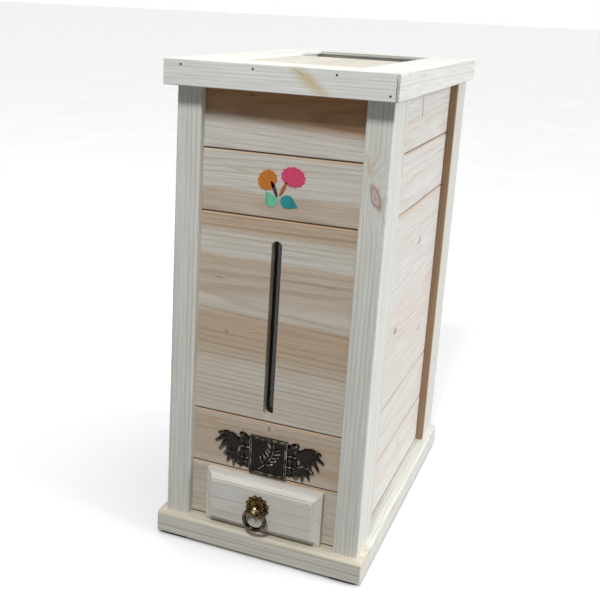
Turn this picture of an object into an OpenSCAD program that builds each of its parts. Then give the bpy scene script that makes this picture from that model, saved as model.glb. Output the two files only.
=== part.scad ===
// Wooden rice bin: a tall softwood chest with a sliding filling hatch in the lid,
// a sight slot in the front and a small dispensing drawer at the foot.
// Millimetres. +Z up, front faces -Y, origin on the floor below the middle of the lid.

/* [Body] */
// Width across the outside of the posts
body_w = 260; // [220:1:330]
// Depth from the front of the front posts to the back of the rear posts
body_d = 427.5; // [350:0.5:520]
// Height of the posts
body_h = 553.5; // [455:0.5:680]

/* [Posts and boards] */
// Width of a post seen from the front
post_w = 31.5; // [26:0.5:38]
// Depth of a post seen from the side
post_d = 62; // [50:1:75]
// Rounding of a post's long edges
post_round = 2; // [1:0.5:4]
// How far the boards lie behind the faces of the posts
board_recess = 11; // [8:0.5:14]
// Thickness of the wall boards
board_t = 12; // [10:0.5:15]
// Length of board held in a post's groove
tongue = 5; // [3:0.5:7]
// Bevel along the long edges of each board
board_bevel = 1.6; // [0.5:0.1:2.5]
// Height of the lowest board, around the drawer
drawer_board_h = 74.5; // [66:0.5:90]
// Height of the board that carries the plaque
plaque_board_h = 73; // [60:1:90]
// Height of the board that carries the inlay
inlay_board_h = 76; // [64:1:92]
// Height of the top board
top_board_h = 73; // [60:1:90]

/* [Sight slot] */
// Width of the slot
slot_w = 13; // [8:0.5:18]
// Wood left below the slot
slot_foot = 8; // [6:1:20]
// Wood left above the slot
slot_head = 26; // [15:1:40]
// Width of the clear pane behind the slot
pane_w = 44; // [30:1:60]
// Thickness of the clear pane
pane_t = 3; // [2:0.5:4]
// Width of the battens that hold the pane
pane_batten_w = 12; // [8:1:18]

/* [Plinth and feet] */
// Height of the plinth
plinth_h = 27.5; // [22:0.5:36]
// Width of a plinth rail
plinth_rail_w = 45; // [38:1:55]
// How far the plinth stands out in front of the posts
plinth_out_front = 11; // [6:0.5:16]
// How far the plinth stands out at each side
plinth_out_side = 8; // [4:0.5:12]
// How far the plinth stands out behind
plinth_out_rear = 4.5; // [2:0.5:8]
// Rounding of the plinth's top edge
plinth_round = 4; // [2:0.5:8]
// Thickness of the base board
base_t = 9; // [6:0.5:12]
// Thickness of a foot pad
foot_h = 5; // [3:0.5:10]
// Side of a square foot pad
foot_w = 36; // [24:1:44]

/* [Lid] */
// Height of the lid
lid_h = 30; // [27:0.5:40]
// How far the lid stands out in front of the posts
lid_out_front = 22; // [12:0.5:30]
// How far the lid stands out at each side
lid_out_side = 8; // [4:0.5:12]
// How far the lid stands out behind
lid_out_rear = 10.5; // [6:0.5:16]
// Thickness of the lid's edge boards
edge_t = 18; // [12:0.5:24]
// Gap of the open mitre at the front right corner
open_mitre = 3.5; // [0.5:0.5:5]
// Width of the lid's side rails
lid_side_rail_w = 38; // [30:1:48]
// Width of the lid's front and rear rails
lid_end_rail_w = 37.5; // [30:0.5:48]

/* [Hatch] */
// Thickness of the sliding leaf
slider_t = 8.5; // [6:0.5:9]
// Depth of the sliding leaf's top below the lid's top
slider_drop = 4.3; // [3.3:0.1:6]
// Depth of the grooves that the leaves run in
hatch_groove = 5.5; // [4:0.5:8]
// Length of the filling hole when the leaf is pushed forward
fill_len = 83; // [60:1:110]
// Thickness of the fixed leaf
fixed_leaf_t = 7.4; // [5:0.1:8]
// Wood between the two pairs of grooves
groove_web = 4.3; // [3:0.1:5]

/* [Drawer] */
// Width of the moulded drawer front
drawer_front_w = 155; // [140:1:168]
// Height of the moulded drawer front
drawer_front_h = 71.5; // [58:0.5:73]
// Thickness of the drawer front at its raised field
drawer_front_t = 18.5; // [14:0.5:20]
// Thickness of the drawer front at its outer edge
drawer_edge_t = 8.5; // [3:0.5:10]
// How far the drawer front sits to the right of the middle
drawer_front_x = 3; // [0:0.5:4]
// Width of the moulding around the field
moulding_w = 10.5; // [8:0.5:14]
// Gap between the drawer front and the plinth
drawer_front_lift = 0.8; // [0.6:0.1:4]
// Width of the drawer box
drawer_w = 140; // [120:1:150]
// Length of the drawer box
drawer_len = 155; // [120:1:180]
// Height of the drawer box
drawer_h = 54; // [44:1:56]
// Thickness of the drawer's sides and back
drawer_side_t = 9; // [6:0.5:12]
// Thickness of the drawer's bottom
drawer_bottom_t = 5; // [3:0.5:6]
// Height of the runners under the drawer
runner_h = 5.7; // [4:0.1:8]

/* [Hopper] */
// Slope of the hopper floor in degrees
hopper_angle = 30; // [25:1:36]
// Thickness of the hopper boards
hopper_t = 10; // [8:0.5:12]
// Length of the throat above the drawer, front to back
throat_len = 78; // [60:1:90]
// Width of the throat
throat_w = 116; // [90:1:118]

/* [Ring pull] */
// Height of the ring's eye above the underside of the drawer front
pull_z = 39.5; // [34:0.5:42]
// Diameter of the rosette
rosette_d = 32; // [24:1:36]
// Thickness of the rosette
rosette_t = 3; // [2:0.5:4]
// Middle radius of the ring
ring_r = 13.5; // [11:0.5:15]
// Thickness of the ring's wire
ring_wire = 4.8; // [3:0.1:5.2]
// Distance of the eye's hole from the drawer front's field
eye_out = 9; // [8:0.5:12]
// Diameter of the round eye that holds the ring
eye_d = 11; // [10:0.5:12]
// Thickness of the eye
eye_t = 5; // [4:0.5:6]

/* [Plaque and inlay] */
// Side of the plaque's square tablet
tablet_w = 50; // [40:1:56]
// Thickness of the plaque
plaque_t = 4; // [3:0.5:6]
// How far the plaque sits to the right of the middle
plaque_x = 4.5; // [0:0.5:8]
// Width of the whole plaque
plaque_w = 150; // [130:1:160]
// Diameter of an inlaid flower
flower_d = 25; // [18:1:28]
// Thickness of the inlay above the board
inlay_t = 0.8; // [0.5:0.1:1.5]

/* [Fits] */
// Clearance of a glued or nailed joint
joint_gap = 0.1; // [0.05:0.05:0.3]
// Running clearance of the drawer and the hatch
slide_gap = 0.4; // [0.3:0.05:0.8]

/* [Hidden] */
$fn = 48;
WALLS = ["front", "left", "right", "rear"];
BOARDS = ["drawer_board", "plaque_board", "slot_board", "inlay_board", "top_board"];
WALL_NODES = [for (w = WALLS) for (b = BOARDS)
    w == "front" ? str("front_", b) : str(w, "_wall_board_", search([b], BOARDS)[0] + 1)];
CORNERS = ["front_left", "front_right", "rear_left", "rear_right"];
SIDES = ["front", "rear", "left", "right"];

PINE = "wheat";
CEDAR = "burlywood";
BRONZE = "darkgoldenrod";

// Levels and faces
lid_w = body_w + 2 * lid_out_side;
lid_d = body_d + lid_out_front + lid_out_rear;
body_y0 = lid_out_front - lid_d / 2;          // front faces of the front posts
body_y1 = body_y0 + body_d;                   // back faces of the rear posts
plinth_w = body_w + 2 * plinth_out_side;
plinth_y0 = body_y0 - plinth_out_front;
plinth_y1 = body_y1 + plinth_out_rear;
body_z0 = foot_h + plinth_h;                  // top of the plinth
body_z1 = body_z0 + body_h;                   // underside of the lid
lid_z1 = body_z1 + lid_h;                     // top of the lid
span_x = body_w / 2 - post_w;                 // half the width between the posts
wall_x = body_w / 2 - board_recess;           // outer face of a side wall
inner_x = wall_x - board_t;                   // inner face of a side wall
front_y = body_y0 + board_recess;             // outer face of the front wall
inner_y0 = front_y + board_t;                 // inner face of the front wall
inner_y1 = body_y1 - board_recess - board_t;  // inner face of the rear wall
side_len = body_d - 2 * post_d;               // side wall seen between the posts
side_y = (body_y0 + body_y1) / 2;             // middle of the side walls

// Boards, from the bottom up; the slotted board takes what the others leave
slot_board_h = body_h - drawer_board_h - plaque_board_h - inlay_board_h - top_board_h;
board_h = [drawer_board_h, plaque_board_h, slot_board_h, inlay_board_h, top_board_h];
function board_z(i) = i == 0 ? body_z0 : board_z(i - 1) + board_h[i - 1];
slot_z0 = board_z(2) + slot_foot;
slot_z1 = board_z(3) - slot_head;

// Drawer and its bay
drawer_front_y1 = front_y - slide_gap;        // back of the drawer front
field_ledge = 0.5;                            // least flat between the hollow and the field
field_step = 1.5;                             // least rise from the hollow to the field
hollow_r = min(moulding_w - field_ledge, drawer_front_t - drawer_edge_t - field_step);
field_y = drawer_front_y1 - drawer_front_t;   // front of its raised field
drawer_z0 = body_z0 + runner_h;
drawer_front_z0 = body_z0 + drawer_front_lift;
bay_t = 12;                                   // thickness of the bay walls
bay_x = drawer_w / 2 + slide_gap;             // inner face of a bay wall
bay_top = body_z0 + drawer_board_h;           // top of the bay walls
bay_past = 12;                                // bay walls run this far past the drawer's back
bay_y1 = drawer_front_y1 + drawer_len + bay_past;
mouth_h = drawer_h + 2 * slide_gap;           // height of the drawer's mouth
runner_w = drawer_side_t + 2;                 // a runner reaches a little past the side on it
bottom_lift = 4;                              // drawer bottom above the sides' lower edges
bottom_hold = 4;                              // width of drawer bottom held in the sides

// Hopper
throat_lip = 6;                               // wood left in front of the throat
throat_y0 = inner_y0 + throat_lip;
throat_y1 = throat_y0 + throat_len;
throat_z1 = bay_top + hopper_t;
floor_y0 = throat_y1;                         // foot of the sloping floor
floor_run = inner_y1 - joint_gap - floor_y0;

// Hatch
slider_z1 = lid_z1 - slider_drop;
slider_z0 = slider_z1 - slider_t;
fixed_z1 = slider_z0 - groove_web;
fixed_z0 = fixed_z1 - fixed_leaf_t;
hole_x = lid_w / 2 - edge_t - lid_side_rail_w;   // half width of the lid's opening
hole_y = lid_d / 2 - edge_t - lid_end_rail_w;    // half length of the lid's opening
end_gap = 0.5;                                   // left at the end of a groove
leaf_lap = 16;                                   // the leaves overlap by this when shut
slider_y0 = -hole_y - hatch_groove + end_gap;
slider_y1 = hole_y - fill_len;
slider_travel = fill_len + hatch_groove - end_gap;
fixed_y1 = slider_y0 + slider_travel + leaf_lap;

// Ring pull
pull_height = drawer_front_z0 + pull_z;
eye_y = field_y - eye_out;
eye_stem_d = 5;
bead_share = 0.22;                            // a bead's diameter, as a share of the rosette's

// Nails
nail_d = 2.6;                                 // diameter of a nail's head
nail_head_t = 0.8;                            // thickness of a nail's head
nail_in = 6;                                  // nails lie this far inside the board's edges
nail_x = [-0.42, -0.1, 0.25];                 // places of the upper nails, as shares of the lid's width

// Plaque and inlay, by height above the lower edge of their boards
tablet_border = 3;                            // width of the tablet's raised border
tablet_sink = 1.2;                            // depth of the tablet's field
plaque_z = board_z(1) + 28;
flower_x = 16;
orange_z = board_z(3) + 46;
pink_z = board_z(3) + 52;
leaf_z = board_z(3) + 23;
leaf_w = 23;                                  // length of a leaf, which is half as tall
leaf_x = 12;
stem_x = 3.5;
stem_h = 22;
stem_w = 4;

// Points of a quarter circle about c, from angle a, turning anticlockwise
function quarter(c, r, a, n = 5) = [for (i = [0 : n]) c + r * [cos(a + 90 * i / n), sin(a + 90 * i / n)]];
// Outline of a w by d rectangle with rounded corners, its low corner at the origin
function rounded(w, d, r) = concat(
    quarter([w - r, r], r, -90), quarter([w - r, d - r], r, 0),
    quarter([r, d - r], r, 90), quarter([r, r], r, 180));

// A box from one corner to the opposite one
module block(low, high) {
    translate(low) cube(high - low);
}

// A y-z outline drawn along X, centred
module along_x(len) {
    rotate([90, 0, 90]) translate([0, 0, -len / 2]) linear_extrude(len) children();
}

// A wall board with its outer face on y = 0 and its lower edge on z = 0
module wall_board(len, h) {
    along_x(len) polygon([
        [board_bevel, 0], [board_t, 0], [board_t, h],
        [board_bevel, h], [0, h - board_bevel], [0, board_bevel]]);
}

module slot_cut() {
    r = slot_w / 2;
    block([-r, front_y - 1, slot_z0 + r], [r, inner_y0 + 1, slot_z1 - r]);
    for (z = [slot_z0 + r, slot_z1 - r])
        translate([0, front_y - 1, z]) rotate([-90, 0, 0]) cylinder(r = r, h = board_t + 2);
}

module mouth_cut() {
    block([-bay_x, front_y - 1, drawer_z0 - slide_gap], [bay_x, inner_y0 + 1, drawer_z0 - slide_gap + mouth_h]);
}

// Board i of a wall, counted from the bottom
module front_board(i) {
    color(CEDAR) difference() {
        translate([0, front_y, board_z(i)]) wall_board(2 * (span_x + tongue), board_h[i]);
        if (BOARDS[i] == "slot_board") slot_cut();
        if (BOARDS[i] == "drawer_board") mouth_cut();
    }
}

module rear_board(i) {
    color(CEDAR) translate([0, body_y1 - board_recess, board_z(i)]) rotate(180)
        wall_board(2 * (span_x + tongue), board_h[i]);
}

module side_board(side, i) {
    color(CEDAR) translate([side * wall_x, side_y, board_z(i)]) rotate(side * 90)
        wall_board(side_len + 2 * tongue, board_h[i]);
}

// A corner post; sx and sy are -1 or 1 and say which corner
module post(sx, sy) {
    g = tongue + 0.5;      // depth of a groove
    w = board_t + 2 * joint_gap;
    color(PINE) translate([0, side_y, body_z0]) scale([sx, sy, 1]) difference() {
        translate([span_x, body_d / 2 - post_d, 0]) linear_extrude(body_h)
            polygon(rounded(post_w, post_d, post_round));
        block([span_x - 1, body_d / 2 - board_recess - w + joint_gap, -1],
              [span_x + g, body_d / 2 - board_recess + joint_gap, body_h + 1]);
        block([wall_x - w + joint_gap, body_d / 2 - post_d - 1, -1],
              [wall_x + joint_gap, body_d / 2 - post_d + g, body_h + 1]);
    }
}

// The board pocket that the plinth rails share
module base_pocket(gap) {
    x = plinth_w / 2 - plinth_rail_w + base_t + gap;
    block([-x, plinth_y0 + plinth_rail_w - base_t - gap, body_z0 - base_t - gap],
          [x, plinth_y1 - plinth_rail_w + base_t + gap, body_z0 + (gap > 0 ? 1 : 0)]);
}

// Outline of a plinth rail: outer face on 0, rounded top edge
module plinth_outline() {
    r = plinth_round;
    polygon(concat([[0, 0], [plinth_rail_w, 0], [plinth_rail_w, plinth_h]], quarter([r, plinth_h - r], r, 90)));
}

module plinth_rail(side) {
    color(PINE) difference() {
        if (side == "front")
            translate([0, plinth_y0, foot_h]) along_x(plinth_w) plinth_outline();
        else if (side == "rear")
            translate([0, plinth_y1, foot_h]) rotate(180) along_x(plinth_w) plinth_outline();
        else {
            s = side == "left" ? -1 : 1;
            len = plinth_y1 - plinth_y0 - 2 * plinth_rail_w;
            translate([s * plinth_w / 2, (plinth_y0 + plinth_y1) / 2, foot_h]) rotate(s * 90)
                along_x(len) plinth_outline();
        }
        base_pocket(joint_gap);
    }
}

module base_board() {
    color(CEDAR) base_pocket(0);
}

module foot_pads() {
    inset = 5;
    x = plinth_w / 2 - inset - foot_w / 2;
    for (sx = [-1, 1])
        for (y = [plinth_y0 + inset + foot_w / 2, plinth_y1 - inset - foot_w / 2])
            color("dimgray") translate([sx * x, y, 0]) linear_extrude(foot_h)
                translate([-foot_w / 2, -foot_w / 2]) polygon(rounded(foot_w, foot_w, 3));
}

// The clear pane lies against the slotted board, inside the bin
module window_pane() {
    color("lightcyan", 0.5) block(
        [-pane_w / 2, inner_y0, slot_z0 - 6],
        [pane_w / 2, inner_y0 + pane_t, slot_z1 + 12]);
}

module window_battens() {
    lap = 5;  // how far a batten covers the pane
    for (s = [-1, 1])
        color(CEDAR) scale([s, 1, 1]) difference() {
            block([pane_w / 2 - lap, inner_y0, slot_z0 - 6],
                  [pane_w / 2 - lap + pane_batten_w, inner_y0 + pane_t + 5, slot_z1 + 12]);
            block([0, inner_y0 - 1, slot_z0 - 6 - 1],
                  [pane_w / 2 + joint_gap, inner_y0 + pane_t + joint_gap, slot_z1 + 12 + 1]);
        }
}

// The flat board over the drawer bay, with the throat that the rice drops through
module throat_board() {
    back = throat_y1 + 20;
    color(CEDAR) difference() {
        union() {
            block([-span_x + joint_gap, inner_y0 + joint_gap, bay_top], [span_x - joint_gap, back, throat_z1]);
            block([-inner_x + joint_gap, body_y0 + post_d + joint_gap, bay_top],
                  [inner_x - joint_gap, back, throat_z1]);
        }
        block([-throat_w / 2, throat_y0, bay_top - 1], [throat_w / 2, throat_y1, throat_z1 + 1]);
    }
}

// The sloping floor, from the back of the throat up to the rear wall
module floor_outline(y0, y1, drop, t) {
    s = tan(hopper_angle);
    polygon([
        [y0, throat_z1 + (y0 - floor_y0) * s - drop], [y1, throat_z1 + (y1 - floor_y0) * s - drop],
        [y1, throat_z1 + (y1 - floor_y0) * s - drop + t], [y0, throat_z1 + (y0 - floor_y0) * s - drop + t]]);
}

module hopper_floor() {
    rise = hopper_t / cos(hopper_angle);
    post_y = body_y1 - post_d - joint_gap;
    color(CEDAR) union() {
        along_x(2 * (span_x - joint_gap)) floor_outline(floor_y0, floor_y0 + floor_run, 0, rise);
        along_x(2 * (inner_x - joint_gap)) floor_outline(floor_y0, post_y, 0, rise);
    }
}

module hopper_cleats() {
    cleat_h = 16;
    for (s = [-1, 1])
        color(PINE) translate([s * (inner_x - hopper_t / 2), 0, 0])
            along_x(hopper_t) floor_outline(throat_y1 + 60, body_y1 - post_d - 5, cleat_h, cleat_h);
}

module bay_wall(s) {
    color(CEDAR) scale([s, 1, 1])
        block([bay_x, inner_y0, body_z0], [bay_x + bay_t, bay_y1, bay_top]);
}

module drawer_runners() {
    for (s = [-1, 1])
        color(PINE) scale([s, 1, 1])
            block([bay_x - runner_w, inner_y0, body_z0], [bay_x, bay_y1, drawer_z0]);
}

module front_slab(inset, t) {
    w = drawer_front_w / 2 - inset;
    block([drawer_front_x - w, drawer_front_y1 - t, drawer_front_z0 + inset],
          [drawer_front_x + w, drawer_front_y1, drawer_front_z0 + drawer_front_h - inset]);
}

// Drawer front: a raised field, a small step, then a hollow that runs out to the edge
module drawer_front() {
    hollow_y = drawer_front_y1 - drawer_edge_t - hollow_r;
    color(PINE) difference() {
        union() {
            difference() {
                front_slab(0, drawer_edge_t + hollow_r);
                translate([drawer_front_x, hollow_y, drawer_front_z0]) for (s = [-1, 1]) {
                    translate([s * drawer_front_w / 2, 0, -1])
                        cylinder(r = hollow_r, h = drawer_front_h + 2);
                    translate([-drawer_front_w / 2 - 1, 0, (s + 1) / 2 * drawer_front_h])
                        rotate([0, 90, 0]) cylinder(r = hollow_r, h = drawer_front_w + 2);
                }
            }
            front_slab(moulding_w, drawer_front_t);
        }
        translate([0, field_y - 1, pull_height]) rotate([-90, 0, 0])
            cylinder(d = eye_stem_d + 2 * joint_gap, h = drawer_front_t + 2);
    }
}

module drawer_bottom_solid(gap) {
    x = drawer_w / 2 - drawer_side_t + bottom_hold + gap;
    block([-x, drawer_front_y1, drawer_z0 + bottom_lift - gap],
          [x, drawer_front_y1 + drawer_len - drawer_side_t + bottom_hold + gap,
           drawer_z0 + bottom_lift + drawer_bottom_t + gap]);
}

module drawer_side(s) {
    color(CEDAR) difference() {
        scale([s, 1, 1]) block(
            [drawer_w / 2 - drawer_side_t, drawer_front_y1, drawer_z0],
            [drawer_w / 2, drawer_front_y1 + drawer_len, drawer_z0 + drawer_h]);
        drawer_bottom_solid(joint_gap);
    }
}

module drawer_back() {
    color(CEDAR) difference() {
        block([-drawer_w / 2 + drawer_side_t, drawer_front_y1 + drawer_len - drawer_side_t, drawer_z0],
              [drawer_w / 2 - drawer_side_t, drawer_front_y1 + drawer_len, drawer_z0 + drawer_h]);
        drawer_bottom_solid(joint_gap);
    }
}

module drawer_bottom() {
    color(CEDAR) drawer_bottom_solid(0);
}

// Rosette: a domed disc ringed with beads
module rosette() {
    beads = 10;
    bead_d = rosette_d * bead_share;   // narrow enough to stand apart
    color(BRONZE) translate([0, field_y, pull_height]) rotate([90, 0, 0]) difference() {
        union() {
            cylinder(d = rosette_d - bead_d, h = rosette_t);
            for (i = [0 : beads - 1])
                rotate(360 / beads * (i + 0.5)) translate([rosette_d / 2 - bead_d / 2, 0, 0])
                    cylinder(d = bead_d, h = rosette_t * 0.8);
        }
        translate([0, 0, -1]) cylinder(d = eye_stem_d + 2 * joint_gap, h = rosette_t + 2);
    }
}

// Eye: a pierced disc on a stem that runs through the rosette into the drawer front
module ring_eye() {
    color(BRONZE) translate([0, eye_y, pull_height]) difference() {
        union() {
            translate([-eye_t / 2, 0, 0]) rotate([0, 90, 0]) cylinder(d = eye_d, h = eye_t);
            rotate([-90, 0, 0]) cylinder(d = eye_stem_d - joint_gap, h = eye_out + drawer_front_t - 1);
        }
        translate([-eye_d, 0, 0]) rotate([0, 90, 0])
            cylinder(d = ring_wire + 3 * slide_gap, h = 2 * eye_d);
    }
}

module pull_ring() {
    color(BRONZE) translate([0, eye_y, pull_height - ring_r]) rotate([90, 0, 0])
        rotate_extrude() translate([ring_r, 0]) circle(d = ring_wire, $fn = 24);
}

// Lid edge boards, mitred; the front one stops short at its right end
module lid_edge(side) {
    x = lid_w / 2;
    y = lid_d / 2;
    t = edge_t;
    g = joint_gap;
    color(PINE) translate([0, 0, body_z1]) linear_extrude(lid_h)
        if (side == "front")
            polygon([[-x + g, -y], [x - open_mitre, -y], [x - open_mitre - t, -y + t], [-x + g + t, -y + t]]);
        else if (side == "rear")
            polygon([[x - g, y], [-x + g, y], [-x + g + t, y - t], [x - g - t, y - t]]);
        else if (side == "left")
            polygon([[-x, y], [-x, -y], [-x + t, -y + t], [-x + t, y - t]]);
        else
            polygon([[x, -y], [x, y], [x - t, y - t], [x - t, -y + t]]);
}

// The spaces that the hatch leaves run in
module hatch_grooves() {
    x = hole_x + hatch_groove;
    y = hole_y + hatch_groove;
    block([-x, -y, slider_z0], [x, y, slider_z1 + slide_gap]);
    block([-x, -y, fixed_z0], [x, fixed_y1 + joint_gap, fixed_z1 + joint_gap]);
}

module lid_rail(side) {
    x = lid_w / 2 - edge_t;
    y = lid_d / 2 - edge_t;
    color(PINE) difference() {
        if (side == "left") block([-x, -y, body_z1], [-hole_x, y, lid_z1]);
        else if (side == "right") block([hole_x, -y, body_z1], [x, y, lid_z1]);
        else if (side == "front") block([-hole_x, -y, body_z1], [hole_x, -hole_y, lid_z1]);
        else block([-hole_x, hole_y, body_z1], [hole_x, y, lid_z1]);
        hatch_grooves();
    }
}

module sliding_leaf() {
    x = hole_x + hatch_groove - slide_gap;
    color(CEDAR) block([-x, slider_y0, slider_z0], [x, slider_y1, slider_z1]);
}

module fixed_leaf() {
    x = hole_x + hatch_groove - joint_gap;
    color(CEDAR) block([-x, -hole_y - hatch_groove + joint_gap, fixed_z0], [x, fixed_y1, fixed_z1]);
}

// Plaque: a bordered tablet with a plain medallion, between bars and leaf clusters
module leaf_cluster() {
    reach = plaque_w / 2;
    edge = tablet_w / 2;
    polygon([
        [edge, -21], [edge, 25], [edge + 9, 26], [edge + 16, 22], [edge + 22, 13],
        [edge + 30, 14], [reach - 12, 12], [reach - 4, 6], [reach, 0],
        [reach - 5, -5], [reach - 7, -9], [reach - 14, -6],
        [reach - 12, -19], [reach - 20, -22], [reach - 32, -20]]);
}

module plaque() {
    field_w = tablet_w - 2 * tablet_border;
    color("darkolivegreen") translate([plaque_x, front_y, plaque_z]) rotate([90, 0, 0]) union() {
        difference() {
            translate([-tablet_w / 2, -tablet_w / 2, 0]) cube([tablet_w, tablet_w, plaque_t]);
            translate([-field_w / 2, -field_w / 2, plaque_t - tablet_sink])
                cube([field_w, field_w, 2 * tablet_sink]);
        }
        cylinder(d = tablet_w * 0.5, h = plaque_t - 0.4);
        for (s = [-1, 1])
            scale([s, 1, 1]) linear_extrude(plaque_t - 1) leaf_cluster();
    }
}

// Inlay: two round flowers on stems over a pair of leaves
module flower_inlay() {
    translate([0, front_y, 0]) rotate([90, 0, 0]) {
        color("peru") translate([-flower_x, orange_z]) cylinder(d = flower_d, h = inlay_t);
        color("hotpink") translate([flower_x, pink_z]) cylinder(d = flower_d, h = inlay_t);
        color("saddlebrown") for (s = [-1, 1])
            translate([s * stem_x, leaf_z + 3]) linear_extrude(inlay_t) polygon([
                [-stem_w / 2, 0], [stem_w / 2, 0],
                [stem_w * 0.75 + s * 2, stem_h], [-stem_w * 0.75 + s * 2, stem_h]]);
        color("teal") for (s = [-1, 1])
            translate([s * leaf_x, leaf_z - 5]) linear_extrude(inlay_t) scale([1, 0.5]) circle(d = leaf_w);
    }
}

// Nails through the lid's front edge board, their heads flush with its face
module nail() {
    rotate([-90, 0, 0]) cylinder(d = nail_d, h = nail_head_t);
    rotate([-90, 0, 0]) cylinder(d = nail_d / 2, h = edge_t + nail_in);
}

module nails() {
    color("dimgray") translate([0, -lid_d / 2, body_z1]) {
        for (k = nail_x)
            translate([k * lid_w, 0, lid_h - nail_in]) nail();
        translate([lid_w / 2 - open_mitre - nail_in, 0, nail_in]) nail();
    }
}

for (i = [0 : 3])
    post(i % 2 == 0 ? -1 : 1, i < 2 ? -1 : 1);
for (s = SIDES)
    plinth_rail(s);
for (s = SIDES)
    lid_edge(s);
for (s = SIDES)
    lid_rail(s);
for (i = [0 : 4]) {
    front_board(i);
    side_board(-1, i);
    side_board(1, i);
    rear_board(i);
}
foot_pads();
base_board();
window_pane();
window_battens();
hopper_floor();
hopper_cleats();
throat_board();
bay_wall(-1);  // bay_left_wall
bay_wall(1);  // bay_right_wall
drawer_runners();
drawer_front();
drawer_side(-1);  // drawer_left_side
drawer_side(1);  // drawer_right_side
drawer_back();
drawer_bottom();
rosette();
ring_eye();
pull_ring();
sliding_leaf();
fixed_leaf();
plaque();
flower_inlay();
nails();
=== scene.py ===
"""Wooden rice bin: the visual model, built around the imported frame.

Metres throughout, with +Z up, the front facing -Y and the origin on the floor under the
middle of the lid. Sizes that read better in millimetres are multiplied by MM.
"""

import logging
import math
from dataclasses import dataclass, field
from enum import Enum

import bmesh
import bpy
from mathutils import Matrix, Vector


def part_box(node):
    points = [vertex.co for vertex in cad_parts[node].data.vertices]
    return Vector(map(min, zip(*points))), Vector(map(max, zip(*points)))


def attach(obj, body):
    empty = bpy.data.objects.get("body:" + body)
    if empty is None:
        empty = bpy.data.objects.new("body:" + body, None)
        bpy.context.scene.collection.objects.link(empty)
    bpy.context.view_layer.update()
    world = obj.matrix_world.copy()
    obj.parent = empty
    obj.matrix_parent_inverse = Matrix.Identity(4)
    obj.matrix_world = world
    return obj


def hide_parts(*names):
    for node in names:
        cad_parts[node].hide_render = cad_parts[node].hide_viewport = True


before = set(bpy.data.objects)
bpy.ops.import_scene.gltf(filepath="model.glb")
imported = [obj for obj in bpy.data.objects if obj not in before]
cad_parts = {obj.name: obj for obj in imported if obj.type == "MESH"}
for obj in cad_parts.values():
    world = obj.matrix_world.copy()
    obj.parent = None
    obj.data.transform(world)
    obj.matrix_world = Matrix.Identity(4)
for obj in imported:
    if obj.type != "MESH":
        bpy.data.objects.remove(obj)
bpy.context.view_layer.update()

MM = 0.001
# Points nearer to a plane than this lie on it
TOUCH = 0.01 * MM
# Points nearer to each other than this are one point
WELD = 0.01 * MM
# An edge that reaches further than this along a board runs along it
RUN = 0.1 * MM
# How far a cutting shape reaches past the wood
OVERCUT = 2 * MM
# How far a groove stands off the piece that sits in it
GROOVE_FIT = 0.1 * MM
log = logging.getLogger("rice_bin")


# ---------------------------------------------------------------- directions and wood figure

class Way(Enum):
    """A direction along one of the frame's axes."""

    LEFT = (-1, 0, 0)
    RIGHT = (1, 0, 0)
    FRONT = (0, -1, 0)
    REAR = (0, 1, 0)
    UP = (0, 0, 1)

    @property
    def vector(self) -> Vector:
        """The direction as a unit vector."""
        return Vector(self.value)

    @property
    def index(self) -> int:
        """Which of the three axes the direction lies on."""
        return [abs(v) for v in self.value].index(1)


@dataclass(frozen=True)
class Mark:
    """A knot or a stain on a board, in millimetres from the middle of its face.

    Attributes:
        along: its place along the grain.
        across: its place across the grain.
        length: its size along the grain.
        width: its size across the grain.
        turn: degrees that it is turned on the face.
        colour: its colour.
        strength: how much it covers, from 0 to 1.
        eye: whether it is a knot, which bends the rings, or a plain stain.
    """

    along: float
    across: float
    length: float
    width: float
    turn: float = 0.0
    colour: str = "#8a6242"
    strength: float = 0.8
    eye: bool = True


@dataclass(frozen=True)
class Figure:
    """How one board was cut from its log, which decides the lines on its face.

    Attributes:
        seed: sets its noise apart from that of other boards.
        pith_across: how far the log's middle is beside the board's, in millimetres.
        pith_behind: how far the log's middle is behind the board's, in millimetres.
        lean: degrees that the log's axis leans, and a third as much sideways.
        bands: places across the board, from 0 to 1, each with its share of heartwood.
        marks: its knots and stains.
        drift: how far the bands slope, in millimetres across for each along; on the top front board it slopes
            a painted shadow of the lid.
        heartwood: the heartwood's colour, where it isn't the species' own; on the top front board it is
            partly a painted shadow, on the rear right post a painted shade.
    """

    seed: int
    pith_across: float = 10.0
    pith_behind: float = 60.0
    lean: float = 1.0
    bands: tuple = ((0.0, 0.1), (1.0, 0.1))
    marks: tuple = ()
    drift: float = 0.012
    heartwood: str = ""


@dataclass(frozen=True)
class Species:
    """A planed, unfinished softwood: its colours and the spacing of its rings."""

    name: str
    sapwood: str
    heartwood: str
    latewood: str
    ring_mm: float
    ring_strength: float
    warp_mm: float
    slot: str


# Pine, planed: pale grey cream with fine, even, slightly green lines along the board
PINE = Species("pine_planed", "#dfe1dd", "#d4c8b2", "#c8c7b5", 3.6, 0.6, 3.0, "pine")
# Pine, planed, the lid's boards: the same wood from nearer the bark, so almost white
PINE_PALE = Species("pine_planed_pale", "#ebedeb", "#d9ccb5", "#cfcebd", 3.6, 0.5, 3.0, "pine")
# Pine, sanded: nearly white and smooth, its lines hardly to be seen
PINE_FINE = Species("pine_sanded", "#dcdad4", "#d2cabd", "#c9c3b6", 3.2, 0.3, 2.5, "pine")
# Cedar, planed: cream sapwood and tan heartwood in broad bands, with soft rings
CEDAR = Species("cedar_planed", "#dcdbd4", "#c2ae96", "#bda68b", 5.5, 0.5, 9.0, "cedar")
# Cedar, planed, pale boards: nearly white, with faint pink bands
CEDAR_PALE = Species("cedar_planed_pale", "#e0dfdc", "#dbcdc3", "#d2c1b2", 6.0, 0.38, 9.0, "cedar")


# ---------------------------------------------------------------- materials

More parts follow.
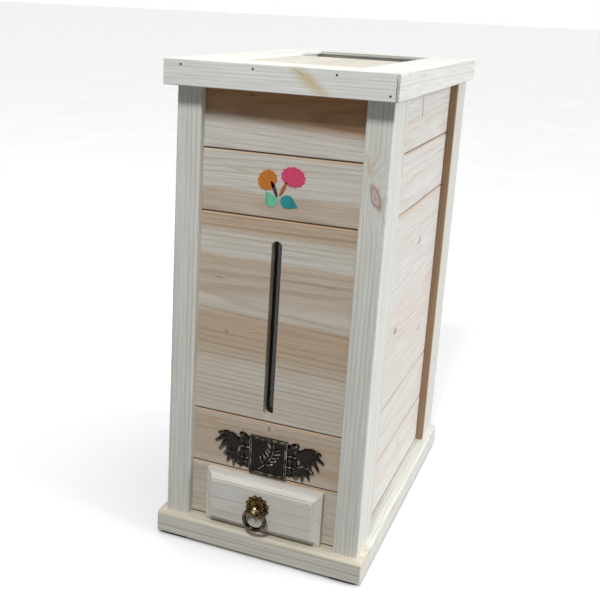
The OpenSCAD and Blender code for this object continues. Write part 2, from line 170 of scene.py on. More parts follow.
def linear(colour: str) -> tuple[float, float, float, float]:
    """Turns an sRGB hex colour into linear light.

    Args:
        colour: the colour as "#rrggbb".

    Returns:
        Red, green, blue and an alpha of 1.
    """
    channels = [int(colour[i:i + 2], 16) / 255 for i in (1, 3, 5)]
    light = [c / 12.92 if c <= 0.04045 else ((c + 0.055) / 1.055) ** 2.4 for c in channels]
    return (*light, 1.0)


def add_node(tree: bpy.types.NodeTree, kind: str, inputs: dict = None,
             stops: tuple = (), **settings) -> bpy.types.Node:
    """Adds a node with its settings, and fills its inputs with values or links.

    Args:
        tree: the node tree that gets the node.
        kind: the node's type, such as "ShaderNodeMath".
        inputs: input names or numbers, each with a value or another node's output.
        stops: for a colour ramp, pairs of a position and a grey level or a hex colour.
        **settings: properties of the node.

    Returns:
        The new node.
    """
    node = tree.nodes.new(kind)
    for name, value in settings.items():
        setattr(node, name, value)
    for key, value in (inputs or {}).items():
        if isinstance(value, bpy.types.NodeSocket):
            tree.links.new(value, node.inputs[key])
        else:
            node.inputs[key].default_value = value
    for place, (position, level) in enumerate(stops):
        elements = node.color_ramp.elements
        element = elements[place] if place < 2 else elements.new(position)
        element.position = position
        element.color = linear(level) if isinstance(level, str) else (level, level, level, 1)
    return node


def start_material(name: str) -> tuple[bpy.types.Material, bpy.types.NodeTree, bpy.types.Node]:
    """Makes an empty node material.

    Args:
        name: the material's name.

    Returns:
        The material, its tree and its Principled shader.
    """
    material = bpy.data.materials.new(name)
    material.use_nodes = True
    tree = material.node_tree
    tree.nodes.clear()
    shader = add_node(tree, "ShaderNodeBsdfPrincipled")
    add_node(tree, "ShaderNodeOutputMaterial", {"Surface": shader.outputs[0]})
    return material, tree, shader


@dataclass(frozen=True)
class Wood:
    """The finish of one board: a species, cut in one way, laid along the board."""

    species: Species
    figure: Figure
    grain: Way
    face: Way
    low: Vector
    high: Vector
    bevelled: bool = False

    def board_space(self, tree: bpy.types.NodeTree) -> bpy.types.NodeSocket:
        """Gives millimetres from the board's middle: along the grain, across it, out of the face.

        Args:
            tree: the material's tree.

        Returns:
            The vector in the board's own directions.
        """
        along, out = self.grain.vector, self.face.vector
        across = out.cross(along)
        turn = Matrix((along, across, out))
        middle = turn @ ((self.low + self.high) / 2)
        coords = add_node(tree, "ShaderNodeTexCoord").outputs["Object"]
        return add_node(tree, "ShaderNodeMapping", {
            "Vector": coords, "Location": -middle / MM,
            "Rotation": turn.to_euler("XYZ"), "Scale": (1 / MM,) * 3}).outputs[0]

    def rings(self, tree: bpy.types.NodeTree, board: bpy.types.NodeSocket,
              bulges: list) -> bpy.types.NodeSocket:
        """Draws the growth rings as cylinders about the pith, bent by slow noise and by knots.

        Args:
            tree: the material's tree.
            board: the vector in the board's directions.
            bulges: how far each knot pushes the rings aside.

        Returns:
            How much of a ring's dark latewood shows, from 0 to 1.
        """
        figure, species = self.figure, self.species
        slow = add_node(tree, "ShaderNodeVectorMath", {0: board, 1: (0.07, 1, 1)},
                        operation="MULTIPLY").outputs[0]
        shifted = add_node(tree, "ShaderNodeVectorMath", {0: slow, 1: (figure.seed * 37.0, 0, 0)},
                           operation="ADD").outputs[0]
        # Bends of the rings about 30 mm across the board
        noise = add_node(tree, "ShaderNodeTexNoise", {
            "Vector": shifted, "Scale": 0.033, "Detail": 2.0}).outputs["Color"]
        half = -species.warp_mm / 2
        warp = add_node(tree, "ShaderNodeVectorMath", {
            0: noise, 1: (0, species.warp_mm, species.warp_mm), 2: (0, half, half)},
            operation="MULTIPLY_ADD").outputs[0]
        lean = math.radians(figure.lean)
        leaned = add_node(tree, "ShaderNodeMapping", {
            "Vector": board, "Location": (0, figure.pith_across, figure.pith_behind),
            "Rotation": (0, lean, lean / 3)}).outputs[0]
        bent = add_node(tree, "ShaderNodeVectorMath", {0: leaned, 1: warp},
                        operation="ADD").outputs[0]
        flat = add_node(tree, "ShaderNodeVectorMath", {0: bent, 1: (0, 1, 1)},
                        operation="MULTIPLY").outputs[0]
        radius = add_node(tree, "ShaderNodeVectorMath", {0: flat}, operation="LENGTH").outputs["Value"]
        count = add_node(tree, "ShaderNodeMath", {0: radius, 1: 1 / species.ring_mm},
                         operation="MULTIPLY").outputs[0]
        for bulge in bulges:
            count = add_node(tree, "ShaderNodeMath", {0: count, 1: bulge}, operation="ADD").outputs[0]
        within = add_node(tree, "ShaderNodeMath", {0: count}, operation="FRACT").outputs[0]
        line = add_node(tree, "ShaderNodeValToRGB", {"Fac": within}, stops=(
            (0.0, 0.0), (1.0, 0.0), (0.45, 0.16), (0.8, 1.0), (0.92, 0.75))).outputs[0]
        # Some years are darker than others
        year = add_node(tree, "ShaderNodeTexNoise", {"W": count, "Scale": 0.43, "Detail": 1.0},
                        noise_dimensions="1D").outputs["Fac"]
        share = add_node(tree, "ShaderNodeMapRange", {
            "Value": year, "From Min": 0.3, "From Max": 0.7, "To Min": 0.1, "To Max": 1.0}).outputs[0]
        return add_node(tree, "ShaderNodeMath", {0: line, 1: share}, operation="MULTIPLY").outputs[0]

    def band(self, tree: bpy.types.NodeTree, board: bpy.types.NodeSocket,
             fibres: bpy.types.NodeSocket) -> bpy.types.NodeSocket:
        """Draws the bands of heartwood across the board; on some boards the bands also carry painted light
        and painted shade.

        Args:
            tree: the material's tree.
            board: the vector in the board's directions.
            fibres: fine noise that roughens the bands' edges.

        Returns:
            The share of heartwood, from 0 to 1.
        """
        across = self.face.vector.cross(self.grain.vector)
        width = abs((self.high - self.low).dot(across)) / MM
        drift = add_node(tree, "ShaderNodeVectorMath", {0: board, 1: (self.figure.drift, 1, 0)},
                         operation="DOT_PRODUCT").outputs["Value"]
        ragged = add_node(tree, "ShaderNodeMath", {0: fibres, 1: 7.0, 2: drift},
                          operation="MULTIPLY_ADD").outputs[0]
        share = add_node(tree, "ShaderNodeMath", {0: ragged, 1: 1 / width, 2: 0.5 - 3.5 / width},
                         operation="MULTIPLY_ADD").outputs[0]
        bands = self.figure.bands
        ordered = (bands[0], bands[-1]) + tuple(bands[1:-1])
        return add_node(tree, "ShaderNodeValToRGB", {"Fac": share}, stops=ordered).outputs[0]

    def paint_bevel_light_and_shade(self, tree: bpy.types.NodeTree, board: bpy.types.NodeSocket,
                colour: bpy.types.NodeSocket) -> bpy.types.NodeSocket:
        """Paints light and shade on the bevels: a warm painted highlight on the upper bevel, which faces up
        into the light, and a dark painted shade on the lower one, which faces down.

        Args:
            tree: the material's tree.
            board: the vector in the board's directions.
            colour: the wood's colour so far.

        Returns:
            The colour with the painted highlight and painted shade on its bevels.
        """
        # The painted highlight and shade start 2.6 mm inside the board's edge and are full 1.5 mm from it
        start, full = 2.6, 1.5
        half = (self.high.z - self.low.z) / MM / 2
        across = add_node(tree, "ShaderNodeSeparateXYZ", {0: board}).outputs["Y"]
        # The upper bevel gets a warm painted highlight, the lower one a dark painted shade
        for sign, painted_tone, share in ((1, "#cba680", 0.55), (-1, "#3c2617", 0.95)):
            near = add_node(tree, "ShaderNodeMapRange", {
                "Value": across, "From Min": sign * (half - start), "From Max": sign * (half - full),
                "To Min": 0.0, "To Max": share}).outputs[0]
            colour = add_node(tree, "ShaderNodeMix", {0: near, 6: colour, 7: linear(painted_tone)},
                              data_type="RGBA").outputs[2]
        return colour

    def mark(self, tree: bpy.types.NodeTree, board: bpy.types.NodeSocket,
             mark: Mark) -> bpy.types.NodeSocket:
        """Measures how far a point is from a knot or stain.

        Args:
            tree: the material's tree.
            board: the vector in the board's directions.
            mark: the knot or stain.

        Returns:
            The distance, which is 1 at the mark's edge.
        """
        local = add_node(tree, "ShaderNodeMapping", {
            "Vector": board, "Location": (mark.along, mark.across, 0),
            "Rotation": (0, 0, math.radians(mark.turn)),
            "Scale": (mark.length / 2, mark.width / 2, 1000)}, vector_type="TEXTURE").outputs[0]
        # Ragged edges, two or three waves round the mark
        rough = add_node(tree, "ShaderNodeTexNoise", {
            "Vector": local, "Scale": 1.3, "Detail": 2.0}).outputs["Fac"]
        reach = add_node(tree, "ShaderNodeVectorMath", {0: local}, operation="LENGTH").outputs["Value"]
        return add_node(tree, "ShaderNodeMath", {0: rough, 1: 0.5, 2: reach},
                        operation="MULTIPLY_ADD").outputs[0]

    def material(self, name: str) -> bpy.types.Material:
        """Builds the board's material.

        Args:
            name: the board's name, which ends the material's.

        Returns:
            The material.
        """
        species, figure = self.species, self.figure
        material, tree, shader = start_material(f"{species.name}_{name}")
        board = self.board_space(tree)
        reaches = [self.mark(tree, board, m) for m in figure.marks]
        bulges = []
        for mark, reach in zip(figure.marks, reaches):
            if mark.eye:
                bulges.append(add_node(tree, "ShaderNodeMapRange", {
                    "Value": reach, "From Min": 0.2, "From Max": 3.0, "To Min": 3.2, "To Max": 0.0},
                    interpolation_type="SMOOTHSTEP").outputs[0])
        late = self.rings(tree, board, bulges)
        drawn_out = add_node(tree, "ShaderNodeVectorMath", {0: board, 1: (0.018, 1, 1)},
                             operation="MULTIPLY").outputs[0]
        # Fibres are 0.05 mm wide, too fine to show, so they are drawn about 1.5 mm wide
        fibres = add_node(tree, "ShaderNodeTexNoise", {
            "Vector": drawn_out, "Scale": 0.65, "Detail": 4.0, "Roughness": 0.65}).outputs["Fac"]
        # Heartwood bands, which on some boards also carry painted light and painted shade
        heart = self.band(tree, board, fibres)
        ground = add_node(tree, "ShaderNodeMix", {
            0: heart, 6: linear(species.sapwood), 7: linear(figure.heartwood or species.heartwood)},
            data_type="RGBA").outputs[2]
        shown = add_node(tree, "ShaderNodeMath", {0: late, 1: species.ring_strength},
                         operation="MULTIPLY").outputs[0]
        dark = add_node(tree, "ShaderNodeMix", {
            0: 1.0, 6: ground, 7: linear(species.latewood)}, data_type="RGBA",
            blend_type="MULTIPLY").outputs[2]
        ringed = add_node(tree, "ShaderNodeMix", {0: shown, 6: ground, 7: dark},
                          data_type="RGBA").outputs[2]
        shade = add_node(tree, "ShaderNodeValToRGB", {"Fac": fibres}, stops=(
            (0.3, "#e4ded4"), (0.62, "#ffffff"))).outputs[0]
        colour = add_node(tree, "ShaderNodeMix", {0: 1.0, 6: ringed, 7: shade},
                          data_type="RGBA", blend_type="MULTIPLY").outputs[2]
        for mark, reach in zip(figure.marks, reaches):
            eye = ((0.3, 0.75), (1.25, 0.0), (0.55, 0.35), (0.72, 1.0), (0.95, 0.3))
            stain = ((0.35, 1.0), (1.25, 0.0))
            cover = add_node(tree, "ShaderNodeValToRGB", {"Fac": reach},
                             stops=eye if mark.eye else stain).outputs[0]
            amount = add_node(tree, "ShaderNodeMath", {0: cover, 1: mark.strength},
                              operation="MULTIPLY").outputs[0]
            colour = add_node(tree, "ShaderNodeMix", {
                0: amount, 6: colour, 7: linear(mark.colour)}, data_type="RGBA").outputs[2]
        # Painted highlight and painted shade on the bevels of the seams
        if self.bevelled:
            colour = self.paint_bevel_light_and_shade(tree, board, colour)
        relief = add_node(tree, "ShaderNodeMath", {0: fibres, 1: 0.5, 2: late},
                          operation="MULTIPLY_ADD").outputs[0]
        # Planing leaves the latewood about 0.05 mm proud, drawn a little deeper to show
        bump = add_node(tree, "ShaderNodeBump", {
            "Height": relief, "Strength": 0.25, "Distance": 0.15 * MM}).outputs[0]
        rough = add_node(tree, "ShaderNodeMapRange", {
            "Value": fibres, "From Min": 0.3, "From Max": 0.7, "To Min": 0.56, "To Max": 0.74}).outputs[0]
        tree.links.new(colour, shader.inputs["Base Color"])
        tree.links.new(rough, shader.inputs["Roughness"])
        tree.links.new(bump, shader.inputs["Normal"])
        shader.inputs["IOR"].default_value = 1.45
        return material


def wood_finish(node: str, species: Species, figure: Figure, grain: Way, face: Way,
                bevelled: bool = False) -> bpy.types.Material:
    """Makes the finish of one board, laid along the box of its node.

    Args:
        node: the board's node.
        species: its wood.
        figure: how it was cut.
        grain: the way its grain runs.
        face: the way its face looks.
        bevelled: whether its seams are bevelled and get a painted highlight and painted shade on their
            bevels.

    Returns:
        The material.
    """
    low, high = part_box(node)
    return Wood(species, figure, grain, face, low, high, bevelled).material(node)


@dataclass(frozen=True)
class Bronze:
    """Bronze, blackened and rubbed: dark in the hollows, brown-gold on the high spots."""

    name: str
    dark: str
    rubbed: str
    polished: str
    roughness: float

    def material(self, back: float, front: float) -> bpy.types.Material:
        """Builds the material between the casting's back and its highest spots.

        Args:
            back: the frame's Y at the back of the casting.
            front: the frame's Y at its foremost point.

        Returns:
            The material.
        """
        material, tree, shader = start_material(self.name)
        coords = add_node(tree, "ShaderNodeTexCoord").outputs["Object"]
        depth = add_node(tree, "ShaderNodeSeparateXYZ", {0: coords}).outputs["Y"]
        height = add_node(tree, "ShaderNodeMapRange", {
            "Value": depth, "From Min": back, "From Max": front}).outputs[0]
        # The pitted skin that casting and blackening leave, pits about 1 mm wide
        grit = add_node(tree, "ShaderNodeTexNoise", {
            "Vector": coords, "Scale": 900.0, "Detail": 3.0, "Roughness": 0.6}).outputs["Fac"]
        # Patina clouds about 6 mm wide
        cloud = add_node(tree, "ShaderNodeTexNoise", {
            "Vector": coords, "Scale": 160.0, "Detail": 2.0}).outputs["Fac"]
        edge = add_node(tree, "ShaderNodeNewGeometry").outputs["Pointiness"]
        raised = add_node(tree, "ShaderNodeMapRange", {
            "Value": edge, "From Min": 0.49, "From Max": 0.58}).outputs[0]
        patchy = add_node(tree, "ShaderNodeMath", {0: cloud, 1: 0.8, 2: -0.4},
                          operation="MULTIPLY_ADD").outputs[0]
        rub = add_node(tree, "ShaderNodeMath", {0: raised, 1: 0.55, 2: patchy},
                       operation="MULTIPLY_ADD").outputs[0]
        worn = add_node(tree, "ShaderNodeMath", {0: height, 1: 0.6, 2: rub},
                        operation="MULTIPLY_ADD", use_clamp=True).outputs[0]
        colour = add_node(tree, "ShaderNodeValToRGB", {"Fac": worn}, stops=(
            (0.25, self.dark), (0.7, self.rubbed), (1.0, self.polished))).outputs[0]
        rough = add_node(tree, "ShaderNodeMapRange", {
            "Value": grit, "From Min": 0.3, "From Max": 0.7,
            "To Min": self.roughness, "To Max": self.roughness + 0.16}).outputs[0]
        bump = add_node(tree, "ShaderNodeBump", {
            "Height": grit, "Strength": 0.3, "Distance": 0.12 * MM}).outputs[0]
        tree.links.new(colour, shader.inputs["Base Color"])
        tree.links.new(rough, shader.inputs["Roughness"])
        tree.links.new(bump, shader.inputs["Normal"])
        shader.inputs["Metallic"].default_value = 1.0
        shader.inputs["Coat Weight"].default_value = 0.2
        shader.inputs["Coat Roughness"].default_value = 0.12
        return material


@dataclass(frozen=True)
class DyedVeneer:
    """Thin wood veneer, dyed and glued on: flat colour with petal lines and fine fibres."""

    name: str
    colour: str
    line: str
    centre: Vector
    petals: int = 0

    def material(self) -> bpy.types.Material:
        """Builds the material, with petal lines that run out from the centre.

        Returns:
            The material.
        """
        material, tree, shader = start_material(self.name)
        coords = add_node(tree, "ShaderNodeTexCoord").outputs["Object"]
        local = add_node(tree, "ShaderNodeMapping", {
            "Vector": coords, "Location": self.centre,
            "Rotation": (math.radians(90), 0, 0), "Scale": (MM,) * 3},
            vector_type="TEXTURE").outputs[0]
        # Fibres about 1 mm wide, drawn coarser than real ones so that they show
        fibres = add_node(tree, "ShaderNodeTexNoise", {
            "Vector": local, "Scale": 0.9, "Detail": 3.0}).outputs["Fac"]
        turn = add_node(tree, "ShaderNodeTexGradient", {"Vector": local},
                        gradient_type="RADIAL").outputs["Fac"]
        wave = add_node(tree, "ShaderNodeMath", {0: turn, 1: float(max(self.petals, 1))},
                        operation="MULTIPLY").outputs[0]
        between = add_node(tree, "ShaderNodeMath", {0: wave, 1: 1.0}, operation="PINGPONG").outputs[0]
        vein = add_node(tree, "ShaderNodeMapRange", {
            "Value": between, "From Min": 0.0, "From Max": 0.16, "To Min": 0.75, "To Max": 0.0}).outputs[0]
        shade = add_node(tree, "ShaderNodeMath", {0: fibres, 1: 0.7, 2: -0.2},
                         operation="MULTIPLY_ADD", use_clamp=True).outputs[0]
        lines = vein if self.petals else shade
        mixed = add_node(tree, "ShaderNodeMath", {0: lines, 1: shade}, operation="MAXIMUM").outputs[0]
        colour = add_node(tree, "ShaderNodeMix", {
            0: mixed, 6: linear(self.colour), 7: linear(self.line)}, data_type="RGBA").outputs[2]
        bump = add_node(tree, "ShaderNodeBump", {
            "Height": fibres, "Strength": 0.2, "Distance": 0.1 * MM}).outputs[0]
        rough = add_node(tree, "ShaderNodeMapRange", {
            "Value": fibres, "To Min": 0.45, "To Max": 0.65}).outputs[0]
        tree.links.new(colour, shader.inputs["Base Color"])
        tree.links.new(rough, shader.inputs["Roughness"])
        tree.links.new(bump, shader.inputs["Normal"])
        return material


def acrylic_sheet() -> bpy.types.Material:
    """Acrylic, cast sheet: glossy, faintly dusty from the grain behind it, and tinted dark as a painted shade
    of the bin's dark inside.

    Returns:
        The material.
    """
    material, tree, shader = start_material("acrylic_cast_shade_tinted")
    coords = add_node(tree, "ShaderNodeTexCoord").outputs["Object"]
    # Dust and wipe marks about 8 mm wide
    dust = add_node(tree, "ShaderNodeTexNoise", {
        "Vector": coords, "Scale": 120.0, "Detail": 4.0}).outputs["Fac"]
    rough = add_node(tree, "ShaderNodeMapRange", {
        "Value": dust, "From Min": 0.35, "From Max": 0.7, "To Min": 0.03, "To Max": 0.16}).outputs[0]
    tree.links.new(rough, shader.inputs["Roughness"])
    # The dark tint is painted shade: it stands for the dark inside of the bin seen through the slot
    shader.inputs["Base Color"].default_value = linear("#2e3131")
    shader.inputs["Transmission Weight"].default_value = 1.0
    shader.inputs["IOR"].default_value = 1.49
    return material


def pressed_felt() -> bpy.types.Material:
    """Wool felt, pressed: dark grey-brown, dull, with matted fibres.

    Returns:
        The material.
    """
    material, tree, shader = start_material("wool_felt_pressed")
    coords = add_node(tree, "ShaderNodeTexCoord").outputs["Object"]
    # Matted tufts about 1.2 mm wide
    tufts = add_node(tree, "ShaderNodeTexNoise", {
        "Vector": coords, "Scale": 800.0, "Detail": 5.0, "Roughness": 0.7}).outputs["Fac"]
    colour = add_node(tree, "ShaderNodeValToRGB", {"Fac": tufts}, stops=(
        (0.3, "#4a443f"), (0.7, "#7b736b"))).outputs[0]
    bump = add_node(tree, "ShaderNodeBump", {
        "Height": tufts, "Strength": 0.6, "Distance": 0.4 * MM}).outputs[0]
    tree.links.new(colour, shader.inputs["Base Color"])
    tree.links.new(bump, shader.inputs["Normal"])
    shader.inputs["Roughness"].default_value = 0.95
    shader.inputs["Sheen Weight"].default_value = 0.3
    return material


def drawn_steel() -> bpy.types.Material:
    """Steel wire, drawn and cut into nails: dull, and pale under sanding dust.

    Returns:
        The material.
    """
    material, tree, shader = start_material("steel_wire_drawn")
    coords = add_node(tree, "ShaderNodeTexCoord").outputs["Object"]
    # Oxide specks about 0.8 mm wide
    specks = add_node(tree, "ShaderNodeTexNoise", {
        "Vector": coords, "Scale": 1200.0, "Detail": 3.0}).outputs["Fac"]
    colour = add_node(tree, "ShaderNodeValToRGB", {"Fac": specks}, stops=(
        (0.35, "#c2b6a2"), (0.65, "#d9d1c2"))).outputs[0]
    rough = add_node(tree, "ShaderNodeMapRange", {
        "Value": specks, "To Min": 0.6, "To Max": 0.85}).outputs[0]
    tree.links.new(colour, shader.inputs["Base Color"])
    tree.links.new(rough, shader.inputs["Roughness"])
    shader.inputs["Metallic"].default_value = 0.3
    return material


# ---------------------------------------------------------------- shapes

def box_mesh(low: Vector, high: Vector) -> bmesh.types.BMesh:
    """Makes a box.

    Args:
        low: its lowest corner.
        high: its highest corner.

    Returns:
        The box as a bmesh.
    """
    bm = bmesh.new()
    place = Matrix.Translation((low + high) / 2) @ Matrix.Diagonal((*(high - low), 1))
    bmesh.ops.create_cube(bm, size=1, matrix=place)
    return bm


def soften(bm: bmesh.types.BMesh, edges: list, width: float, segments: int = 2) -> None:
    """Rounds edges.

    Args:
        bm: the shape.
        edges: the edges to round.
        width: how far the rounding reaches.
        segments: how many faces it has.
    """
    bmesh.ops.bevel(bm, geom=edges, offset=width, offset_type="OFFSET", segments=segments,
                    profile=0.5, affect="EDGES", clamp_overlap=True, material=-1)


def add_rod(bm: bmesh.types.BMesh, centre: Vector, radius: float, length: float,
            segments: int) -> None:
    """Adds a round rod that runs from the front to the rear.

    Args:
        bm: the shape that gets it.
        centre: its middle.
        radius: its radius.
        length: its length.
        segments: faces round it.
    """
    lying = Matrix.Rotation(math.radians(90), 4, "X")
    bmesh.ops.create_cone(bm, cap_ends=True, segments=segments, radius1=radius, radius2=radius,
                          depth=length, matrix=Matrix.Translation(centre) @ lying)


def spun(outline: list[Vector], centre: Vector, axis: tuple, steps: int,
         closed: bool = False) -> bmesh.types.BMesh:
    """Turns an outline about an axis, as on a lathe.

    Args:
        outline: its points, measured from the centre.
        centre: a point of the axis.
        axis: the direction of the axis.
        steps: faces round the piece.
        closed: whether the last point joins the first.

    Returns:
        The turned shape.
    """
    bm = bmesh.new()
    verts = [bm.verts.new(centre + point) for point in outline]
    following = verts[1:] + verts[:1] if closed else verts[1:]
    edges = [bm.edges.new(pair) for pair in zip(verts, following)]
    bmesh.ops.spin(bm, geom=verts + edges, cent=centre, axis=axis, angle=math.tau,
                   steps=steps, use_merge=True)
    bmesh.ops.remove_doubles(bm, verts=bm.verts, dist=WELD)
    bmesh.ops.recalc_face_normals(bm, faces=bm.faces)
    return bm


def circle_angles(count: int) -> list[float]:
    """Angles spaced evenly round a circle, in radians."""
    return [math.tau * i / count for i in range(count)]


def finish_mesh(name: str, bm: bmesh.types.BMesh, materials: list,
                smooth: bool = False) -> bpy.types.Object:
    """Turns a bmesh into an object at the origin.

    Args:
        name: the piece's name.
        bm: its shape, which is freed.
        materials: its materials, in slot order.
        smooth: whether its faces are shaded smooth.

    Returns:
        The object, linked to the scene.
    """
    bmesh.ops.recalc_face_normals(bm, faces=bm.faces)
    mesh = bpy.data.meshes.new(name)
    bm.to_mesh(mesh)
    bm.free()
    for material in materials:
        mesh.materials.append(material)
    if smooth:
        mesh.shade_smooth()
        mesh.set_sharp_from_angle(angle=math.radians(40))
    piece = bpy.data.objects.new(name, mesh)
    bpy.context.scene.collection.objects.link(piece)
    return piece


def bake_modifiers(piece: bpy.types.Object) -> None:
    """Applies a piece's modifiers to its mesh.

    Args:
        piece: the object.
    """
    bpy.context.view_layer.update()
    shown = piece.evaluated_get(bpy.context.evaluated_depsgraph_get())
    mesh = bpy.data.meshes.new_from_object(shown)
    piece.modifiers.clear()
    old, piece.data = piece.data, mesh
    bpy.data.meshes.remove(old)


def carve(piece: bpy.types.Object, cutters: list[bmesh.types.BMesh]) -> None:
    """Cuts shapes out of a piece.

    Args:
        piece: the object to cut.
        cutters: the shapes to take away, which are freed.
    """
    tools = [finish_mesh(f"{piece.name}_cutter", bm, []) for bm in cutters]
    for tool in tools:
        cut = piece.modifiers.new("cut", "BOOLEAN")
        cut.operation = "DIFFERENCE"
        cut.solver = "EXACT"
        cut.object = tool
    bake_modifiers(piece)
    for tool in tools:
        bpy.data.objects.remove(tool)


def hand_over(piece: bpy.types.Object, body: str, slot: str, *nodes: str) -> None:
    """Puts a finished piece on its body, in place of the nodes it stands for.

    Args:
        piece: the object.
        body: the body it moves with.
        slot: the record's material slot, which is not used.
        *nodes: the nodes it replaces.
    """
    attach(piece, body)
    if nodes:
        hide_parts(*nodes)
    log.info("%s: %d faces on %s", piece.name, len(piece.data.polygons), body)


def dress(node: str, material: bpy.types.Material) -> None:
    """Gives a node that is shown as it is a finish.

    Args:
        node: the node's name.
        material: its material.
    """
    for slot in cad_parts[node].material_slots:
        slot.material = material
    log.info("%s: finish %s", node, material.name)


@dataclass
class Board:
    """One planed board, made to the box of its node, with rounded arrises."""

    node: str
    species: Species
    figure: Figure
    grain: Way
    face: Way
    groove: float = 0.0
    arris: float = 0.6 * MM
    body: str = "chest"
    cuts: list = field(default_factory=list)

    def shape(self) -> bmesh.types.BMesh:
        """Planes the board: wider bevels along the seams of its face, fine ones elsewhere.

        Returns:
            The board's shape.
        """
        low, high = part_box(self.node)
        bm = box_mesh(low, high)
        axis = self.face.index
        outer = (high if sum(self.face.value) > 0 else low)[axis]
        if self.groove:
            seams = [e for e in bm.edges
                     if all(abs(v.co[axis] - outer) < TOUCH for v in e.verts)
                     and abs(e.verts[0].co[self.grain.index] - e.verts[1].co[self.grain.index]) > RUN]
            soften(bm, seams, self.groove, 3)
        else:
            soften(bm, list(bm.edges), self.arris, 2)
        return bm

    def build(self) -> bpy.types.Object:
        """Makes the board and puts it in place of its node.

        Returns:
            The board.
        """
        wood = wood_finish(self.node, self.species, self.figure, self.grain, self.face,
                           self.groove > 0)
        piece = finish_mesh(f"{self.node}_planed", self.shape(), [wood])
        if self.cuts:
            carve(piece, self.cuts)
        hand_over(piece, self.body, self.species.slot, self.node)
        return piece


def grown(low: Vector, high: Vector, by: float) -> tuple[Vector, Vector]:
    """A box grown by the same amount on every side."""
    return low - Vector((by,) * 3), high + Vector((by,) * 3)


# ---------------------------------------------------------------- sub-assemblies

